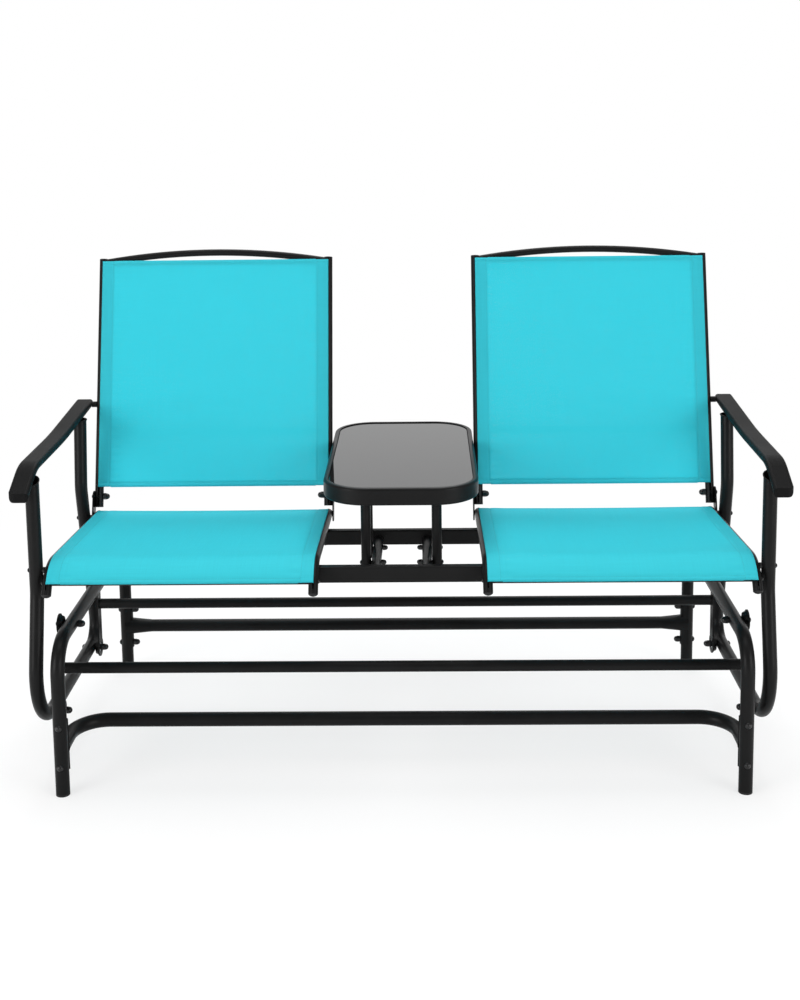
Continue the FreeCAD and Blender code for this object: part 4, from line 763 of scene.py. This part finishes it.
def weld_bead(name, curve, body):
    """A rippled bead along a closed curve of points."""
    curve = np.array(curve)
    ahead = np.roll(curve, -1, axis=0) - np.roll(curve, 1, axis=0)
    ahead /= np.linalg.norm(ahead, axis=1, keepdims=True)
    outward = curve - curve.mean(axis=0)
    outward -= ahead * np.sum(outward * ahead, axis=1, keepdims=True)
    outward /= np.linalg.norm(outward, axis=1, keepdims=True)
    aside = np.cross(ahead, outward)
    lengths = np.cumsum(np.linalg.norm(np.roll(curve, -1, axis=0) - curve, axis=1))
    ripples = round(lengths[-1] / WELD_RIPPLE)
    wave = np.abs(np.sin(math.pi * ripples * lengths / lengths[-1]))
    radius = WELD_RADIUS * (1 - WELD_RIPPLE_SHARE * wave)
    angles = np.arange(WELD_SIDES) * 2 * math.pi / WELD_SIDES
    ring = outward[:, None] * np.cos(angles)[None, :, None] + aside[:, None] * np.sin(angles)[None, :, None]
    points = (curve[:, None] + ring * radius[:, None, None]).reshape(-1, 3)
    faces = []
    for step in range(len(curve)):
        here = step * WELD_SIDES
        after = (step + 1) % len(curve) * WELD_SIDES
        for k in range(WELD_SIDES):
            turn = (k + 1) % WELD_SIDES
            faces.append([here + k, after + k, after + turn, here + turn])
    return new_piece(name, points, faces, FINISHES["frame"], body)


def round_steps():
    """Cosines and sines of even steps round a tube."""
    angles = np.arange(WELD_STEPS) * 2 * math.pi / WELD_STEPS
    return np.cos(angles), np.sin(angles)


def crossbar_weld(leg_x):
    """Where the front crossbar's end meets the saddle on a leg."""
    cosine, sine = round_steps()
    across = CROSSBAR_RADIUS * cosine
    y = FRONT_LEG_Y + np.sqrt(SADDLE_RADIUS ** 2 - across ** 2)
    return np.stack([leg_x + across, y, CROSSBAR_HEIGHT + CROSSBAR_RADIUS * sine], axis=1)


def swing_tube_weld(link_x, y, z):
    """Where a swing frame's tube meets the inner face of a link."""
    cosine, sine = round_steps()
    along = np.full(WELD_STEPS, link_x)
    return np.stack([along, y + SWING_TUBE_RADIUS * cosine, z + SWING_TUBE_RADIUS * sine], axis=1)


def armrest_weld(post_x, post_y, low, high):
    """Where a post meets the underside of the armrest's run between two (Y, Z) places."""
    cosine, sine = round_steps()
    slope = (high[1] - low[1]) / (high[0] - low[0])
    y = post_y + ARM_TUBE_RADIUS * sine
    z = low[1] + (y - low[0]) * slope - ARMREST_HALF_THICKNESS * math.hypot(1.0, slope)
    return np.stack([post_x + ARM_TUBE_RADIUS * cosine, FRONT_LEG_Y + y, z], axis=1)


def middle_of(node):
    """The middle of a CAD node's box."""
    low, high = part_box(node)
    return (Vector(low) + Vector(high)) / 2


def build_welds():
    """Beads at the joints that the camera sees from the front, the sides and below."""
    for side in SIDES:
        leg_x = middle_of("base_frame_" + side).x
        weld_bead(side + "_crossbar_weld", crossbar_weld(leg_x), "base")
        post_x = middle_of("arm_frame_" + side).x
        runs = ((ARMREST_TIP, ARMREST_KNEE), (ARMREST_DIP, ARMREST_REAR))
        for label, post_y, (low, high) in zip(("front", "rear"), ARM_POST_YS, runs):
            weld_bead(side + "_" + label + "_armrest_weld", armrest_weld(post_x, post_y, low, high), "seat")
    for label in ("front", "rear"):
        tube = label + "_swing_tube"
        middle = middle_of(tube)
        for side, end in zip(SIDES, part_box(tube)):
            bead = swing_tube_weld(Vector(end).x, middle.y, middle.z)
            weld_bead(side + "_" + label + "_swing_weld", bead, label + "_swing")


# Studio and camera

def build_floor():
    """A pale floor that keeps the shadow round the glider and is plain white further off."""
    mesh = bpy.data.meshes.new("floor")
    corners = [(-FLOOR_HALF, -FLOOR_HALF, 0), (FLOOR_HALF, -FLOOR_HALF, 0), (FLOOR_HALF, FLOOR_HALF, 0),
               (-FLOOR_HALF, FLOOR_HALF, 0)]
    mesh.from_pydata(corners, [], [(0, 1, 2, 3)])
    floor = bpy.data.objects.new("floor", mesh)
    bpy.context.scene.collection.objects.link(floor)
    material, tree, surface = empty_material("studio_floor")
    white = add_node(tree, "Emission", {"Color": WHITE, "Strength": 1.0}).outputs[0]
    path = add_node(tree, "LightPath")
    seen = calc(tree, "MAXIMUM", path.outputs["Is Camera Ray"], path.outputs["Is Transmission Ray"])
    mirrored = calc(tree, "MAXIMUM", seen, path.outputs["Is Glossy Ray"])
    colour = blend_colour(tree, mirrored, FLOOR_LIT, FLOOR_SEEN)
    paint = add_node(tree, "BsdfDiffuse", {"Color": colour}).outputs[0]
    place = add_node(tree, "TexCoord").outputs["Object"]
    distance = add_node(tree, "VectorMath", {0: place}, operation="LENGTH").outputs["Value"]
    limits = {0: distance, 1: FLOOR_SHADE_REACH, 2: FLOOR_WHITE_REACH, 3: FLOOR_WHITE_SHARE, 4: 1.0}
    whiten = add_node(tree, "MapRange", limits, interpolation_type="SMOOTHSTEP").outputs[0]
    share = calc(tree, "MULTIPLY", seen, whiten)
    tree.links.new(add_node(tree, "MixShader", {0: share, 1: paint, 2: white}).outputs[0], surface)
    mesh.materials.append(material)


def build_world():
    """White where it is seen or mirrored behind the glider, a dim studio behind the camera, and soft fill."""
    world = bpy.data.worlds.new("studio")
    bpy.context.scene.world = world
    world.use_nodes = True
    tree = world.node_tree
    tree.nodes.clear()
    path = add_node(tree, "LightPath")
    direction = add_node(tree, "SeparateXYZ", {0: add_node(tree, "TexCoord").outputs["Generated"]})
    rearward = direction.outputs[1]
    behind = faded(tree, rearward, MIRRORED_FADE, STUDIO_DIM, 1.0)
    soft = faded(tree, rearward, FILL_FADE, STUDIO_FILL_FRONT, STUDIO_FILL_BEHIND)
    mirrored = calc(tree, "MAXIMUM", path.outputs["Is Glossy Ray"], path.outputs["Is Transmission Ray"])
    fill = add_node(tree, "Mix", {0: mirrored, 2: soft, 3: behind}).outputs[0]
    strength = add_node(tree, "Mix", {0: path.outputs["Is Camera Ray"], 2: fill, 3: 1.0}).outputs[0]
    sky = add_node(tree, "Background", {"Color": WHITE, "Strength": strength})
    tree.links.new(sky.outputs[0], add_node(tree, "OutputWorld").inputs[0])


def softbox(name, place, size, power):
    """A square studio light aimed at the glider's middle."""
    light = bpy.data.lights.new(name, "AREA")
    light.shape = "SQUARE"
    light.size = size
    light.energy = power
    lamp = bpy.data.objects.new(name, light)
    bpy.context.scene.collection.objects.link(lamp)
    lamp.location = place
    lamp.rotation_euler = (Vector(LIGHT_AIM) - Vector(place)).to_track_quat("-Z", "Y").to_euler()


def build_lights():
    """A soft overhead key, two front fills and a weaker light from behind."""
    for row in SOFTBOXES:
        softbox(*row)


def build_camera():
    """The photo's camera."""
    data = bpy.data.cameras.new("photo_camera")
    data.sensor_width = SENSOR
    data.lens = FOCAL_PIXELS * SENSOR / PHOTO_HEIGHT_PIXELS
    data.shift_y = PRINCIPAL_ROW / PHOTO_HEIGHT_PIXELS - 0.5
    camera = bpy.data.objects.new("photo_camera", data)
    bpy.context.scene.collection.objects.link(camera)
    bpy.context.scene.camera = camera
    reach = math.cos(CAMERA_PITCH)
    ahead = Vector((math.sin(CAMERA_YAW) * reach, math.cos(CAMERA_YAW) * reach, -math.sin(CAMERA_PITCH)))
    level = Vector((math.cos(CAMERA_YAW), -math.sin(CAMERA_YAW), 0.0))
    upright = level.cross(ahead)
    right = level * math.cos(CAMERA_ROLL) + upright * math.sin(CAMERA_ROLL)
    up = upright * math.cos(CAMERA_ROLL) - level * math.sin(CAMERA_ROLL)
    turn = Matrix((right, up, -ahead)).transposed().to_4x4()
    place = Vector((CAMERA_X, FRONT_LEG_Y - CAMERA_SETBACK, CAMERA_HEIGHT))
    camera.matrix_world = Matrix.Translation(place) @ turn


bpy.context.scene.view_settings.view_transform = "Standard"
finish_cad_nodes()
build_slings()
build_welds()
build_floor()
build_world()
build_lights()
build_camera()
